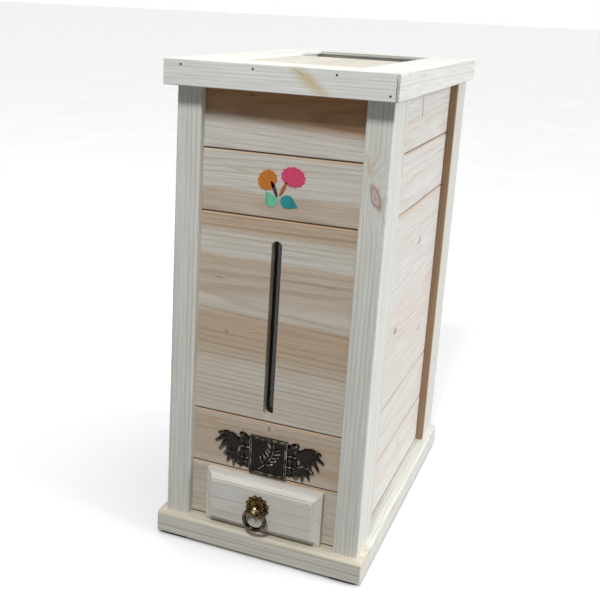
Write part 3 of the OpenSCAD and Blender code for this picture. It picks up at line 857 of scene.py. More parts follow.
@dataclass
class Carcass:
    """The four posts and the boards between them."""

    groove: float = 2.2 * MM
    slot_margin_low: float = 8 * MM
    slot_margin_high: float = 26 * MM
    slot_width: float = 13 * MM
    slot_arris: float = 0.7 * MM
    mouth_gap: float = 0.4 * MM
    post_round: float = 2 * MM

    def front_figures(self) -> dict[str, Figure]:
        """The figure of each board in the front wall, with its bands of heartwood and knots; the rise of
        heartwood in the last stop, at the top edge of each lower board, is painted light, the warm glow of
        its lit upper bevel.
        """
        return {
            "front_drawer_board": Figure(
                3, -20, 30, 1.2,
                ((0.0, 0.35), (0.3, 0.6), (0.6, 0.35), (0.85, 0.6), (0.96, 0.25), (1.0, 0.9)),
                (Mark(80, 4, 9, 4, 0, "#9a7a58", 0.6),)),
            "front_plaque_board": Figure(
                5, 14, 34, 1.0, ((0.0, 0.6), (0.25, 0.95), (0.5, 0.8), (0.75, 0.95), (0.94, 0.6), (1.0, 1.0)),
                (Mark(3, 28, 7, 11, 0, "#7f5b3c", 0.8),
                 Mark(-76, 24, 26, 9, 3, "#b58c6e", 0.5, eye=False))),
            "front_slot_board": Figure(
                7, -30, 46, 1.6,
                ((0.0, 0.42), (0.1, 0.5), (0.2, 0.35), (0.26, 0.45), (0.33, 0.88), (0.42, 1.0),
                 (0.5, 0.95), (0.53, 0.42), (0.58, 0.35), (0.63, 0.72), (0.74, 0.72), (0.78, 0.86),
                 (0.81, 0.2), (0.9, 0.25), (0.93, 0.9), (1.0, 1.0)),
                (Mark(-72, 48, 26, 2.2, -4, "#4a3a2c", 0.85, eye=False),
                 Mark(-60, -20, 5, 5, 0, "#6b4a34", 0.8),
                 Mark(70, 56, 50, 6, -3, "#b0825f", 0.6, eye=False),
                 Mark(-66, 66, 60, 3, -2, "#a3815f", 0.5, eye=False))),
            "front_inlay_board": Figure(
                9, 22, 26, 2.2, ((0.0, 0.9), (0.12, 0.7), (0.24, 0.85), (0.34, 0.75), (0.42, 0.2),
                                 (0.7, 0.12), (0.78, 0.3), (0.85, 0.1), (0.955, 0.15), (1.0, 0.8)),
                (Mark(-50, 16, 60, 5, -5, "#b08f6c", 0.55, eye=False),
                 Mark(-84, -12, 24, 4, -4, "#9b7b58", 0.5, eye=False))),
            # Its dark heartwood over the upper half, sloping down to the right, is partly its own heartwood
            # and partly a painted shadow of the lid above
            "front_top_board": Figure(
                11, -12, 18, 3.4, ((0.0, 0.1), (0.3, 0.08), (0.42, 0.3), (0.56, 0.9), (0.9, 1.0), (1.0, 1.0)),
                (Mark(-40, 29, 12, 3, 0, "#3f2d20", 0.8),), 0.07, "#a87f57"),
        }

    def side_figures(self, seed: int) -> list[Figure]:
        """The figures of the five boards of a side or rear wall, from the bottom up; the rise of heartwood at
        each board's top edge is painted light, the warm glow of its lit upper bevel.

        Args:
            seed: varies the wall.

        Returns:
            Five figures.
        """
        knots = {
            0: (Mark(20, 10, 14, 8, 0, "#7a5f4b", 0.85),),
            2: (Mark(36, 70, 24, 12, 20, "#75604f", 0.9), Mark(-66, -30, 22, 13, -15, "#755c4a", 0.9),
                Mark(86, -72, 16, 11, 0, "#7f6a58", 0.85)),
            3: (Mark(-30, 4, 40, 3, 2, "#b79a7e", 0.5, eye=False),),
            4: (Mark(-24, 14, 12, 44, 8, "#8a7c75", 0.85),),
        }
        return [Figure(seed + i, -18 + 11 * i, 26 + 6 * i, 1 + 0.5 * (i % 3),
                       ((0.0, 0.25 + 0.1 * (i % 2)), (0.35, 0.1 + 0.2 * ((i + seed) % 3)),
                        (0.5, 0.5), (0.62, 0.15), (0.95, 0.3), (1.0, 0.8)),
                       knots.get(i, ())) for i in range(5)]

    def slot_cutter(self) -> bmesh.types.BMesh:
        """The round-ended sight slot that is cut through its board.

        Returns:
            The slot's shape, a little longer than the board is thick.
        """
        low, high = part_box("front_slot_board")
        radius = self.slot_width / 2
        bottom = low.z + self.slot_margin_low + radius
        top = high.z - self.slot_margin_high - radius
        middle = (bottom + top) / 2
        bm = bmesh.new()
        add_rod(bm, Vector((0, (low.y + high.y) / 2, middle)), radius,
                high.y - low.y + 2 * OVERCUT, 48)
        # Each half moves apart by half of what the rod lacks of the slot's height, and a hair
        stretch = (top - bottom) / 2 + radius * 1e-4
        for vert in bm.verts:
            vert.co.z += stretch if vert.co.z > middle + TOUCH else -stretch
        return bm

    def mouth_cutter(self) -> bmesh.types.BMesh:
        """The drawer's mouth, cut through the lowest board behind the drawer front."""
        low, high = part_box("drawer_left_side")
        board_low, board_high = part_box("front_drawer_board")
        gap = self.mouth_gap
        return box_mesh(Vector((low.x - gap, board_low.y - OVERCUT, low.z - gap)),
                        Vector((-low.x + gap, board_high.y + OVERCUT, high.z + gap)))

    def round_slot(self, piece: bpy.types.Object) -> None:
        """Rounds the slot's edge on the face of its board.

        Args:
            piece: the board with its slot already cut.
        """
        low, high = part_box("front_slot_board")
        reach = self.slot_width / 2 + 1 * MM
        margin = self.slot_margin_low / 2
        bm = bmesh.new()
        bm.from_mesh(piece.data)
        rim = [e for e in bm.edges
               if all(abs(v.co.y - low.y) < TOUCH and abs(v.co.x) < reach
                      and low.z + margin < v.co.z < high.z - margin for v in e.verts)
               and len(e.link_faces) == 2 and e.calc_face_angle(0) > 0.5]
        soften(bm, rim, self.slot_arris, 3)
        bm.to_mesh(piece.data)
        bm.free()

    def build_walls(self) -> None:
        """Builds the boards of the four walls."""
        cutters = {"front_slot_board": self.slot_cutter, "front_drawer_board": self.mouth_cutter}
        for node, figure in self.front_figures().items():
            cuts = [cutters[node]()] if node in cutters else []
            piece = Board(node, CEDAR, figure, Way.RIGHT, Way.FRONT, self.groove, cuts=cuts).build()
            if node == "front_slot_board":
                self.round_slot(piece)
        walls = (("left", Way.FRONT, Way.LEFT, 21), ("right", Way.REAR, Way.RIGHT, 33),
                 ("rear", Way.LEFT, Way.REAR, 47))
        for wall, grain, face, seed in walls:
            for i, figure in enumerate(self.side_figures(seed)):
                node = f"{wall}_wall_board_{i + 1}"
                Board(node, CEDAR_PALE, figure, grain, face, self.groove).build()

    def build_posts(self) -> None:
        """Builds the four posts, grooved for the boards' ends."""
        figures = {
            "front_left_post": Figure(61, 60, 52, 0.25),
            "front_right_post": Figure(62, -64, 40, 0.3, marks=(
                Mark(170, -2, 46, 18, 18, "#9a7358", 0.8),
                Mark(204, 8, 48, 13, 10, "#c8ae84", 0.75, eye=False))),
            "rear_left_post": Figure(63, 58, 60, 0.3),
            # A painted shade: dark brown laid along its forward face, beside the wall boards, where the post
            # stands in shade
            "rear_right_post": Figure(
                64, -50, 62, 0.25, ((0.0, 0.1), (0.95, 0.1), (0.98, 1.0), (1.0, 1.0)), (), 0.0, "#b39272"),
        }
        grooved = ("left_wall_board_3", "right_wall_board_3", "rear_wall_board_3", "front_slot_board")
        grooves = [grown(*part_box(board), GROOVE_FIT) for board in grooved]
        for node, figure in figures.items():
            low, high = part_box(node)
            bm = box_mesh(low, high)
            long_edges = [e for e in bm.edges if abs(e.verts[0].co.z - e.verts[1].co.z) > RUN]
            soften(bm, long_edges, self.post_round, 5)
            face = Way.FRONT if node.startswith("front") else Way.RIGHT
            wood = wood_finish(node, PINE, figure, Way.UP, face)
            piece = finish_mesh(f"{node}_planed", bm, [wood])
            near = [box for box in grooves if box[0].x < high.x and box[1].x > low.x
                    and box[0].y < high.y and box[1].y > low.y]
            carve(piece, [box_mesh(Vector((a.x, a.y, low.z - OVERCUT)), Vector((b.x, b.y, high.z + OVERCUT)))
                          for a, b in near])
            hand_over(piece, "chest", "pine", node)

    def dress_inside(self) -> None:
        """Finishes the boards inside, which keep their plain shape."""
        inside = {
            "hopper_floor": (CEDAR, Way.RIGHT, Way.UP), "throat_board": (CEDAR, Way.RIGHT, Way.UP),
            "base_board": (CEDAR, Way.FRONT, Way.UP), "bay_left_wall": (CEDAR, Way.FRONT, Way.LEFT),
            "bay_right_wall": (CEDAR, Way.FRONT, Way.RIGHT), "hopper_cleats": (PINE, Way.FRONT, Way.UP),
            "drawer_runners": (PINE, Way.FRONT, Way.UP), "window_battens": (CEDAR, Way.UP, Way.REAR),
        }
        for seed, (node, (species, grain, face)) in enumerate(inside.items()):
            figure = Figure(seed + 80, 12 - 7 * (seed % 4), 30, 1.5, ((0.0, 0.3), (0.5, 0.6), (1.0, 0.3)))
            dress(node, wood_finish(node, species, figure, grain, face))
        dress("window_pane", acrylic_sheet())

    def build(self) -> None:
        """Builds the whole carcass."""
        self.build_walls()
        self.build_posts()
        self.dress_inside()


@dataclass
class Plinth:
    """The frame that the posts stand on, with a rounded top edge, and its felt pads."""

    rounding: float = 4 * MM
    arris: float = 0.8 * MM

    def rail(self, side: str, face: Way, grain: Way, figure: Figure) -> None:
        """Builds one rail.

        Args:
            side: front, rear, left or right.
            face: the way its outer face looks.
            grain: the way it runs.
            figure: how it was cut.
        """
        node = f"plinth_{side}_rail"
        low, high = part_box(node)
        outer = (high if sum(face.value) > 0 else low)[face.index]
        bm = box_mesh(low, high)
        top = [e for e in bm.edges if all(abs(v.co.z - high.z) < TOUCH
                                          and abs(v.co[face.index] - outer) < TOUCH for v in e.verts)]
        soften(bm, top, self.rounding, 6)
        sharp = [e for e in bm.edges if e.calc_face_angle(0) > math.radians(60)]
        soften(bm, sharp, self.arris, 2)
        piece = finish_mesh(f"{node}_planed", bm, [wood_finish(node, PINE, figure, grain, face)])
        carve(piece, [box_mesh(*grown(*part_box("base_board"), GROOVE_FIT))])
        hand_over(piece, "chest", "pine", node)

    def build(self) -> None:
        """Builds the four rails and dresses the pads."""
        self.rail("front", Way.FRONT, Way.RIGHT, Figure(
            71, 40, 30, 0.5, ((0.0, 0.35), (0.8, 0.35), (0.9, 0.7), (1.0, 0.7))))
        self.rail("rear", Way.REAR, Way.LEFT, Figure(72, -36, 34, 0.4))
        self.rail("left", Way.LEFT, Way.FRONT, Figure(73, 30, 40, 0.5))
        self.rail("right", Way.RIGHT, Way.REAR, Figure(
            74, -28, 28, 0.6, marks=(Mark(-60, 9, 70, 9, 0, "#c9a58a", 0.55, eye=False),)))
        dress("foot_pads", pressed_felt())


@dataclass
class Lid:
    """The lid's mitred edge boards, the rails behind them and the nails."""

    mitre: float = 18 * MM
    arris: float = 0.9 * MM
    rail_arris: float = 0.4 * MM
    groove_depth: float = 0.4 * MM
    travel: float = 88.5 * MM

    def edge(self, side: str, face: Way, grain: Way, figure: Figure) -> None:
        """Builds one edge board, mitred at both ends.

        Args:
            side: front, rear, left or right.
            face: the way its outer face looks.
            grain: the way it runs.
            figure: how it was cut.
        """
        node = f"lid_{side}_edge"
        low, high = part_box(node)
        inner = (low if sum(face.value) > 0 else high)[face.index]
        run = grain.index
        middle = (low[run] + high[run]) / 2
        bm = box_mesh(low, high)
        for vert in bm.verts:
            if abs(vert.co[face.index] - inner) < TOUCH:
                vert.co[run] -= math.copysign(self.mitre, vert.co[run] - middle)
        soften(bm, list(bm.edges), self.arris, 3)
        piece = finish_mesh(f"{node}_planed", bm, [wood_finish(node, PINE_PALE, figure, grain, face)])
        hand_over(piece, "chest", "pine", node)

    def grooves(self) -> list[bmesh.types.BMesh]:
        """The spaces that the two leaves run in, cut into the rails."""
        low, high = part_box("sliding_leaf")
        a, b = grown(low, high, self.groove_depth)
        b.y += self.travel
        fixed = grown(*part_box("fixed_leaf"), GROOVE_FIT)
        return [box_mesh(a, b), box_mesh(*fixed)]

    def build(self) -> None:
        """Builds the lid."""
        self.edge("front", Way.FRONT, Way.RIGHT, Figure(
            81, 70, 36, 0.35, marks=(Mark(40, 0, 100, 26, -36, "#cbb88f", 0.9, eye=False),
                                     Mark(28, 9, 26, 3, -28, "#8f7b5c", 0.5, eye=False))))
        self.edge("rear", Way.REAR, Way.LEFT, Figure(82, -60, 40, 0.4))
        self.edge("left", Way.LEFT, Way.FRONT, Figure(83, 50, 44, 0.4))
        self.edge("right", Way.RIGHT, Way.REAR, Figure(
            84, -40, 40, 0.4, marks=(Mark(-190, 13, 6, 6, 0, "#a08a72", 0.7),)))
        for side, grain, figure in (("left", Way.FRONT, Figure(85, 30, 38, 0.5)),
                                    ("right", Way.REAR, Figure(86, -34, 36, 0.5)),
                                    ("front", Way.RIGHT, Figure(87, 20, 42, 0.6)),
                                    ("rear", Way.LEFT, Figure(88, -22, 44, 0.5))):
            node = f"lid_{side}_rail"
            Board(node, PINE_PALE, figure, grain, Way.UP, arris=self.rail_arris,
                  cuts=self.grooves()).build()
        dress("fixed_leaf", wood_finish("fixed_leaf", CEDAR, Figure(89, 16, 30, 1.0), Way.RIGHT, Way.UP))
        dress("nails", drawn_steel())


@dataclass
class Hatch:
    """The thin sliding leaf that closes the filling hole."""

    arris: float = 0.7 * MM

    def build(self) -> None:
        """Builds the leaf."""
        Board("sliding_leaf", CEDAR, Figure(91, 30, 34, 1.2, ((0.0, 0.1), (0.5, 0.3), (1.0, 0.1))),
              Way.FRONT, Way.UP, arris=self.arris, body="hatch").build()


@dataclass
class Drawer:
    """The dispensing drawer: a moulded front on a plain box."""

    lip: float = 8.5 * MM
    hollow: float = 8.5 * MM
    ledge: float = 1.95 * MM
    step: float = 1.5 * MM
    hollow_steps: int = 12
    stem_hole: float = 2.6 * MM
    step_slope: float = 0.05 * MM
    field_arris: float = 0.35 * MM
    corner_arris: float = 0.5 * MM
    side_arris: float = 0.4 * MM
    bottom_arris: float = 0.3 * MM

    def front_shape(self) -> bmesh.types.BMesh:
        """Runs the moulding round the front: edge, hollow, ledge, small step and raised field.

        Returns:
            The front's shape.
        """
        low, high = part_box("drawer_front")
        bm = box_mesh(Vector((low.x, high.y - self.lip, low.z)), high)
        face = next(f for f in bm.faces if f.normal.y < -0.9)
        last = (0.0, 0.0)
        for i in range(1, self.hollow_steps + 1):
            turn = math.radians(90) * i / self.hollow_steps
            inset, rise = self.hollow * math.sin(turn), self.hollow * (1 - math.cos(turn))
            bmesh.ops.inset_region(bm, faces=[face], thickness=inset - last[0], depth=rise - last[1],
                                   use_even_offset=True)
            last = (inset, rise)
        bmesh.ops.inset_region(bm, faces=[face], thickness=self.ledge, depth=0, use_even_offset=True)
        bmesh.ops.inset_region(bm, faces=[face], thickness=self.step_slope, depth=self.step,
                               use_even_offset=True)
        soften(bm, list(face.edges), self.field_arris, 2)
        corners = [e for e in bm.edges if e.calc_face_angle(0) > math.radians(70)
                   and all(min(v.co.x - low.x, high.x - v.co.x, v.co.z - low.z, high.z - v.co.z) < TOUCH
                           for v in e.verts)]
        soften(bm, corners, self.corner_arris, 2)
        return bm

    def build(self) -> None:
        """Builds the drawer."""
        low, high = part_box("drawer_front")
        figure = Figure(95, 24, 40, 0.5, ((0.0, 0.15), (0.5, 0.1), (0.9, 0.05), (1.0, 0.2)),
                        (Mark(-50, 31, 14, 4, 0, "#dba98c", 0.5, eye=False),
                         Mark(22, 31.5, 12, 3, 0, "#d69a7c", 0.5, eye=False)))
        wood = wood_finish("drawer_front", PINE_FINE, figure, Way.RIGHT, Way.FRONT)
        piece = finish_mesh("drawer_front_moulded", self.front_shape(), [wood])
        eye_low, eye_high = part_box("ring_eye")
        hole = bmesh.new()
        add_rod(hole, Vector((0, (low.y + high.y) / 2, (eye_low.z + eye_high.z) / 2)),
                self.stem_hole, high.y - low.y + 2 * OVERCUT, 32)
        carve(piece, [hole])
        hand_over(piece, "drawer", "pine", "drawer_front")
        bottom = grown(*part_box("drawer_bottom"), GROOVE_FIT)
        for node, grain, face, seed in (("drawer_left_side", Way.FRONT, Way.LEFT, 96),
                                        ("drawer_right_side", Way.REAR, Way.RIGHT, 97),
                                        ("drawer_back", Way.LEFT, Way.REAR, 98)):
            Board(node, CEDAR, Figure(seed, 14, 30, 1.0, ((0.0, 0.3), (0.6, 0.5), (1.0, 0.2))),
                  grain, face, arris=self.side_arris, body="drawer", cuts=[box_mesh(*bottom)]).build()
        Board("drawer_bottom", CEDAR, Figure(99, 20, 26, 1.4), Way.RIGHT, Way.UP,
              arris=self.bottom_arris, body="drawer").build()


def add_ball(bm: bmesh.types.BMesh, centre: Vector, size: Vector, turn: float = 0.0,
             taper: float = 0.0) -> None:
    """Adds an ellipsoid that can be turned in the front plane and drawn to a point.

    Args:
        bm: the shape that gets it.
        centre: its middle.
        size: its length, depth and width.
        turn: degrees anticlockwise from the right, seen from the front.
        taper: how far it narrows towards its tip, from 0 to 1.
    """
    made = bmesh.ops.create_uvsphere(bm, u_segments=16, v_segments=10, radius=0.5)["verts"]
    for vert in made:
        narrow = 1 - taper * (vert.co.x + 0.5)
        vert.co = Vector((vert.co.x * size.x, vert.co.y * size.y, vert.co.z * size.z * narrow))
    place = Matrix.Translation(centre) @ Matrix.Rotation(-math.radians(turn), 4, "Y")
    bmesh.ops.transform(bm, matrix=place, verts=made)


def cast(piece: bpy.types.Object, grain: float, passes: int) -> None:
    """Melts overlapping shapes into one cast skin.

    Args:
        piece: the object.
        grain: the size of the casting's finest detail.
        passes: how many times the skin is smoothed.
    """
    melt = piece.modifiers.new("melt", "REMESH")
    melt.mode = "VOXEL"
    melt.voxel_size = grain
    melt.use_smooth_shade = True
    bake_modifiers(piece)
    bm = bmesh.new()
    bm.from_mesh(piece.data)
    for _ in range(passes):
        bmesh.ops.smooth_vert(bm, verts=bm.verts, factor=0.5, use_axis_x=True,
                              use_axis_y=True, use_axis_z=True)
    bm.to_mesh(piece.data)
    bm.free()
    piece.data.shade_smooth()


@dataclass
class RingPull:
    """The beaded rosette, the pierced eye and the swinging ring."""

    petals: int = 12
    beads: int = 16
    swell: float = 0.2
    eye_gap: float = 0.6 * MM
    stem_radius: float = 2.4 * MM

    def build_rosette(self) -> None:
        """Casts the rosette: a low dome, a rope of beads and a row of round petals."""
        low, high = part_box("rosette")
        centre = Vector((0, high.y, (low.z + high.z) / 2))
        radius = (high.z - low.z) / 2
        thick = high.y - low.y
        dome = [(0, 0), (0.86, 0), (0.86, 0.3), (0.55, 0.5), (0.3, 0.95), (0, 1)]
        outline = [Vector((radius * across, -thick * out, 0)) for across, out in dome]
        bm = spun(outline, centre, (0, 1, 0), 48)
        for i in range(self.petals):
            turn = math.tau * (i + 0.5) / self.petals
            reach = radius * 0.8
            place = centre + Vector((math.cos(turn) * reach, -thick * 0.32, math.sin(turn) * reach))
            add_ball(bm, place, Vector((radius * 0.4, thick * 1.1, radius * 0.36)), math.degrees(turn))
        for turn in circle_angles(self.beads):
            reach = radius * 0.5
            place = centre + Vector((math.cos(turn) * reach, -thick * 0.62, math.sin(turn) * reach))
            add_ball(bm, place, Vector((radius * 0.17, thick * 0.6, radius * 0.17)))
        finish = Bronze("bronze_cast_gilt", "#1d1508", "#5f4a1c", "#b39a58", 0.24)
        piece = finish_mesh("rosette_cast", bm, [finish.material(high.y, low.y)])
        cast(piece, 0.3 * MM, 1)
        hand_over(piece, "drawer", "antique_bronze", "rosette")

    def build_eye(self) -> None:
        """Builds the eye: a pierced ball on a stem through the rosette."""
        low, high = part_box("ring_eye")
        ring_low, ring_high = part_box("pull_ring")
        wire = ring_high.y - ring_low.y
        centre = Vector((0, (ring_low.y + ring_high.y) / 2, (low.z + high.z) / 2))
        outer = (high.z - low.z) / 2
        inner = wire / 2 + self.eye_gap
        half = (high.x - low.x) / 2
        outline = [Vector((math.cos(a) * half, 0, (outer + inner) / 2 + math.sin(a) * (outer - inner) / 2))
                   for a in circle_angles(20)]
        bm = spun(outline, centre, (1, 0, 0), 40, closed=True)
        start = centre.y + (outer + inner) / 2
        add_rod(bm, Vector((0, (start + high.y) / 2, centre.z)), self.stem_radius, high.y - start, 24)
        finish = Bronze("bronze_turned", "#2c2012", "#7a5c34", "#e6cfa6", 0.16)
        piece = finish_mesh("ring_eye_turned", bm, [finish.material(high.y, low.y)], smooth=True)
        hand_over(piece, "drawer", "antique_bronze", "ring_eye")

    def build_ring(self) -> None:
        """Bends the ring from round wire, a little thicker at its foot."""
        low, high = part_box("pull_ring")
        wire = (high.y - low.y) / 2
        centre = (low + high) / 2
        middle = (high.x - low.x) / 2 - wire
        outline = [Vector((middle + math.cos(a) * wire, math.sin(a) * wire, 0)) for a in circle_angles(20)]
        bm = spun(outline, centre, (0, 1, 0), 72, closed=True)
        for vert in bm.verts:
            out = Vector((vert.co.x - centre.x, 0, vert.co.z - centre.z)).normalized()
            core = centre + out * middle
            vert.co = core + (vert.co - core) * (1 + self.swell * (1 - out.z) / 2)
        finish = Bronze("bronze_wire_blackened", "#0f0b06", "#261c12", "#655338", 0.2)
        piece = finish_mesh("pull_ring_bent", bm, [finish.material(high.y, low.y)], smooth=True)
        hand_over(piece, "pull_ring", "antique_bronze", "pull_ring")

    def build(self) -> None:
        """Builds the ring pull."""
        self.build_rosette()
        self.build_eye()
        self.build_ring()


@dataclass
class Plaque:
    """A cast plaque: a bordered tablet with a sprig of rice, between bars and leaves."""

    tablet: float = 50 * MM
    border: float = 3 * MM
    grain: float = 0.5 * MM

    def add_block(self, bm: bmesh.types.BMesh, low: tuple, high: tuple) -> None:
        """Adds a block given in plaque millimetres: across, up and out of the board.

        Args:
            bm: the casting.
            low: its lowest corner.
            high: its highest corner.
        """
        a, b = self.spot(*low), self.spot(*high)
        place = Matrix.Translation((a + b) / 2) @ Matrix.Diagonal((*[abs(v) for v in b - a], 1))
        bmesh.ops.create_cube(bm, size=1, matrix=place)

    def spot(self, across: float, up: float, out: float) -> Vector:
        """A point of the plaque, from millimetres across, up and out of the board."""
        low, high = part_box("plaque")
        centre = (low.x + high.x) / 2
        return Vector((centre + across * MM, high.y - out * MM, low.z + self.tablet / 2 + up * MM))

    def add_leaf(self, bm: bmesh.types.BMesh, side: int, root: tuple, turn: float,
                 length: float, width: float, out: float, droop: float = 50.0) -> None:
        """Adds one pointed leaf that droops towards its tip.

        Args:
            bm: the casting.
            side: -1 for the left end of the plaque and 1 for the right.
            root: where it starts, across and up.
            turn: its direction in degrees, for the right end.
            length: its length in millimetres.
            width: its width in millimetres.
            out: how far it stands out of the board.
            droop: how many degrees it has turned down at its tip.
        """
        steps = 4
        across, up = root
        for i in range(steps):
            heading = turn - droop * i / (steps - 1)
            angle = math.radians(heading)
            reach = length / steps
            across += math.cos(angle) * reach / 2
            up += math.sin(angle) * reach / 2
            body = width * math.sin(math.pi * (0.25 + 0.68 * (i + 0.5) / steps))
            add_ball(bm, self.spot(side * across, up, out), Vector((reach * 1.9, 3.0, body)) * MM,
                     heading if side > 0 else 180 - heading)
            across += math.cos(angle) * reach / 2
            up += math.sin(angle) * reach / 2

    def add_end(self, bm: bmesh.types.BMesh, side: int) -> None:
        """Adds the jointed bars, the crown of leaves and the lower cluster at one end.

        Args:
            bm: the casting.
            side: -1 for the left end and 1 for the right.
        """
        edge = self.tablet / MM / 2
        self.add_block(bm, (side * edge, -20, 0), (side * (edge + 13), 22, 1.6))
        for across, radius in ((edge + 3.6, 3.6), (edge + 10.4, 3.2)):
            for up, length in ((-14, 15), (0, 15), (15, 15)):
                add_ball(bm, self.spot(side * across, up, 1.3), Vector((length, 5, radius * 2.1)) * MM, 90)
            for up in (-7.2, 7.4):
                add_ball(bm, self.spot(side * across, up, 1.6), Vector((radius * 2.4, 5, 2.6)) * MM)
        add_ball(bm, self.spot(side * (edge + 9), 22, 1.6), Vector((13, 5, 8)) * MM, side * 20)
        add_ball(bm, self.spot(side * (edge + 20), 12, 1.4), Vector((17, 4.4, 13)) * MM, -side * 25)
        for turn, length in ((48, 30), (26, 33), (4, 31), (-20, 27), (-46, 22)):
            self.add_leaf(bm, side, (edge + 15, 11), turn, length, 8.5, 2.1, 62)
        add_ball(bm, self.spot(side * (edge + 18), -7, 1.4), Vector((17, 4.4, 12)) * MM, side * 15)
        for turn, length in ((22, 23), (-6, 22), (-34, 19), (-64, 16)):
            self.add_leaf(bm, side, (edge + 13, -5), turn, length, 7.5, 2.5, 58)
        for across, up in ((edge + 17, -4), (edge + 23, -9), (edge + 14, -15)):
            add_ball(bm, self.spot(side * across, up, 2.8), Vector((5, 2.4, 4.4)) * MM)

    def stem(self, along: float) -> tuple[float, float]:
        """The sprig's bowed stem, across and up, from 0 at its foot to 1 at its tip."""
        return -11 + 18 * along + 6 * math.sin(along * math.pi), -18 + 35 * along

    def add_sprig(self, bm: bmesh.types.BMesh) -> None:
        """Adds the sprig of rice in the tablet: a bowed stem with a grain on each side."""
        for i in range(15):
            along = i / 14
            across, up = self.stem(along)
            add_ball(bm, self.spot(across, up, 2.7), Vector((4.6, 2.6, 2.6)) * MM, 58 + 18 * along)
        for i in range(5):
            across, up = self.stem((i + 1.5) / 6.5)
            for side in (-1, 1):
                place = self.spot(across + side * 5.6, up + 2.0 - side * 2.0, 2.9)
                add_ball(bm, place, Vector((10.5, 3.2, 4.6)) * MM, 64 - side * 50, 0.3)

    def build(self) -> None:
        """Casts the plaque."""
        low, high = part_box("plaque")
        half = self.tablet / MM / 2
        rim = half - self.border / MM
        bm = bmesh.new()
        self.add_block(bm, (-half, -half, 0), (half, half, 2.6))
        for a, b in (((-half, rim), (half, half)), ((-half, -half), (half, -rim)),
                     ((-half, -half), (-rim, half)), ((rim, -half), (half, half))):
            self.add_block(bm, (*a, 0), (*b, 4.1))
        for side in (-1, 1):
            self.add_end(bm, side)
        self.add_sprig(bm)
        finish = Bronze("bronze_cast_blackened", "#080605", "#1b1610", "#8d8678", 0.2)
        piece = finish_mesh("plaque_cast", bm, [finish.material(high.y, low.y)])
        cast(piece, self.grain, 1)
        hand_over(piece, "chest", "antique_bronze", "plaque")


@dataclass
class FlowerInlay:
    """Two scalloped flowers on stems over a pair of leaves, in dyed veneer."""

    lobe_depth: float = 0.1
    inset: float = 0.05 * MM

    def veneer(self, name: str, centre: Vector, width: float, height: float, lobes: int,
               finish: DyedVeneer, shear: float = 0.0, point: float = 0.0,
               turn: float = 0.0) -> bpy.types.Object:
        """Cuts one piece of veneer with a scalloped or pointed edge.

        Args:
            name: the piece's name.
            centre: its middle on the board's face.
            width: its width.
            height: its height.
            lobes: scallops round its edge, or 0 for a smooth edge.
            finish: its dye.
            shear: how far the top leans to the right.
            point: how far the lower end is drawn to a point.
            turn: degrees anticlockwise.

        Returns:
            The piece.
        """
        low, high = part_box("flower_inlay")
        bm = bmesh.new()
        bmesh.ops.create_circle(bm, cap_ends=True, segments=96, radius=1)
        spin = math.radians(turn)
        for vert in bm.verts:
            angle = math.atan2(vert.co.y, vert.co.x)
            reach = 1 - self.lobe_depth * (1 - abs(math.cos(angle * lobes / 2))) if lobes else 1
            x, z = math.cos(angle) * reach, math.sin(angle) * reach
            x *= 1 - point * max(0.0, -z)
            z *= 1 + 0.3 * point * max(0.0, -z)
            x += shear * z
            x, z = x * width / 2, z * height / 2
            vert.co = centre + Vector((x * math.cos(spin) - z * math.sin(spin), 0,
                                       x * math.sin(spin) + z * math.cos(spin)))
            vert.co.y = high.y - self.inset
        made = bmesh.ops.extrude_face_region(bm, geom=list(bm.faces))["geom"]
        top = [v for v in made if isinstance(v, bmesh.types.BMVert)]
        bmesh.ops.translate(bm, verts=top, vec=(0, low.y - high.y + 2 * self.inset, 0))
        piece = finish_mesh(name, bm, [finish.material()])
        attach(piece, "chest")
        log.info("%s: %d faces on chest", piece.name, len(piece.data.polygons))
        return piece

    def build(self) -> None:
        """Cuts and lays the six pieces of veneer."""
        low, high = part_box("flower_inlay")
        orange = Vector((low.x + 12.5 * MM, high.y, high.z - 18.5 * MM))
        pink = Vector((high.x - 13 * MM, high.y, high.z - 12 * MM))
        leaves = low.z + 11 * MM
        first = self.veneer("flower_orange", orange, 24 * MM, 25 * MM, 12, DyedVeneer(
            "veneer_dyed_orange", "#c4761c", "#8d4a10", orange + Vector((5, 0, -8)) * MM, 18), 0.12)
        self.veneer("flower_pink", pink, 30 * MM, 24 * MM, 13, DyedVeneer(
            "veneer_dyed_pink", "#d6446b", "#a02548", pink + Vector((-4, 0, -9)) * MM, 20), -0.1)
        self.veneer("stem_dark", Vector((-7 * MM, high.y, leaves + 13 * MM)), 4.4 * MM, 20 * MM, 0,
                    DyedVeneer("veneer_dyed_black", "#2c2018", "#15100c", orange), turn=24)
        self.veneer("stem_brown", Vector((4 * MM, high.y, leaves + 14 * MM)), 4.2 * MM, 19 * MM, 0,
                    DyedVeneer("veneer_dyed_brown", "#a9571c", "#7d3b10", pink), turn=-26)
        self.veneer("leaf_green", Vector((-11 * MM, high.y, leaves)), 15 * MM, 18 * MM, 0,
                    DyedVeneer("veneer_dyed_green", "#6ec39c", "#4f9a7a", orange, 8), point=0.55, turn=215)
        self.veneer("leaf_teal", Vector((11 * MM, high.y, leaves - 1 * MM)), 16 * MM, 20 * MM, 0,
                    DyedVeneer("veneer_dyed_teal", "#178f93", "#0f6468", pink, 8), point=0.6, turn=70)
        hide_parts("flower_inlay")


# ---------------------------------------------------------------- studio

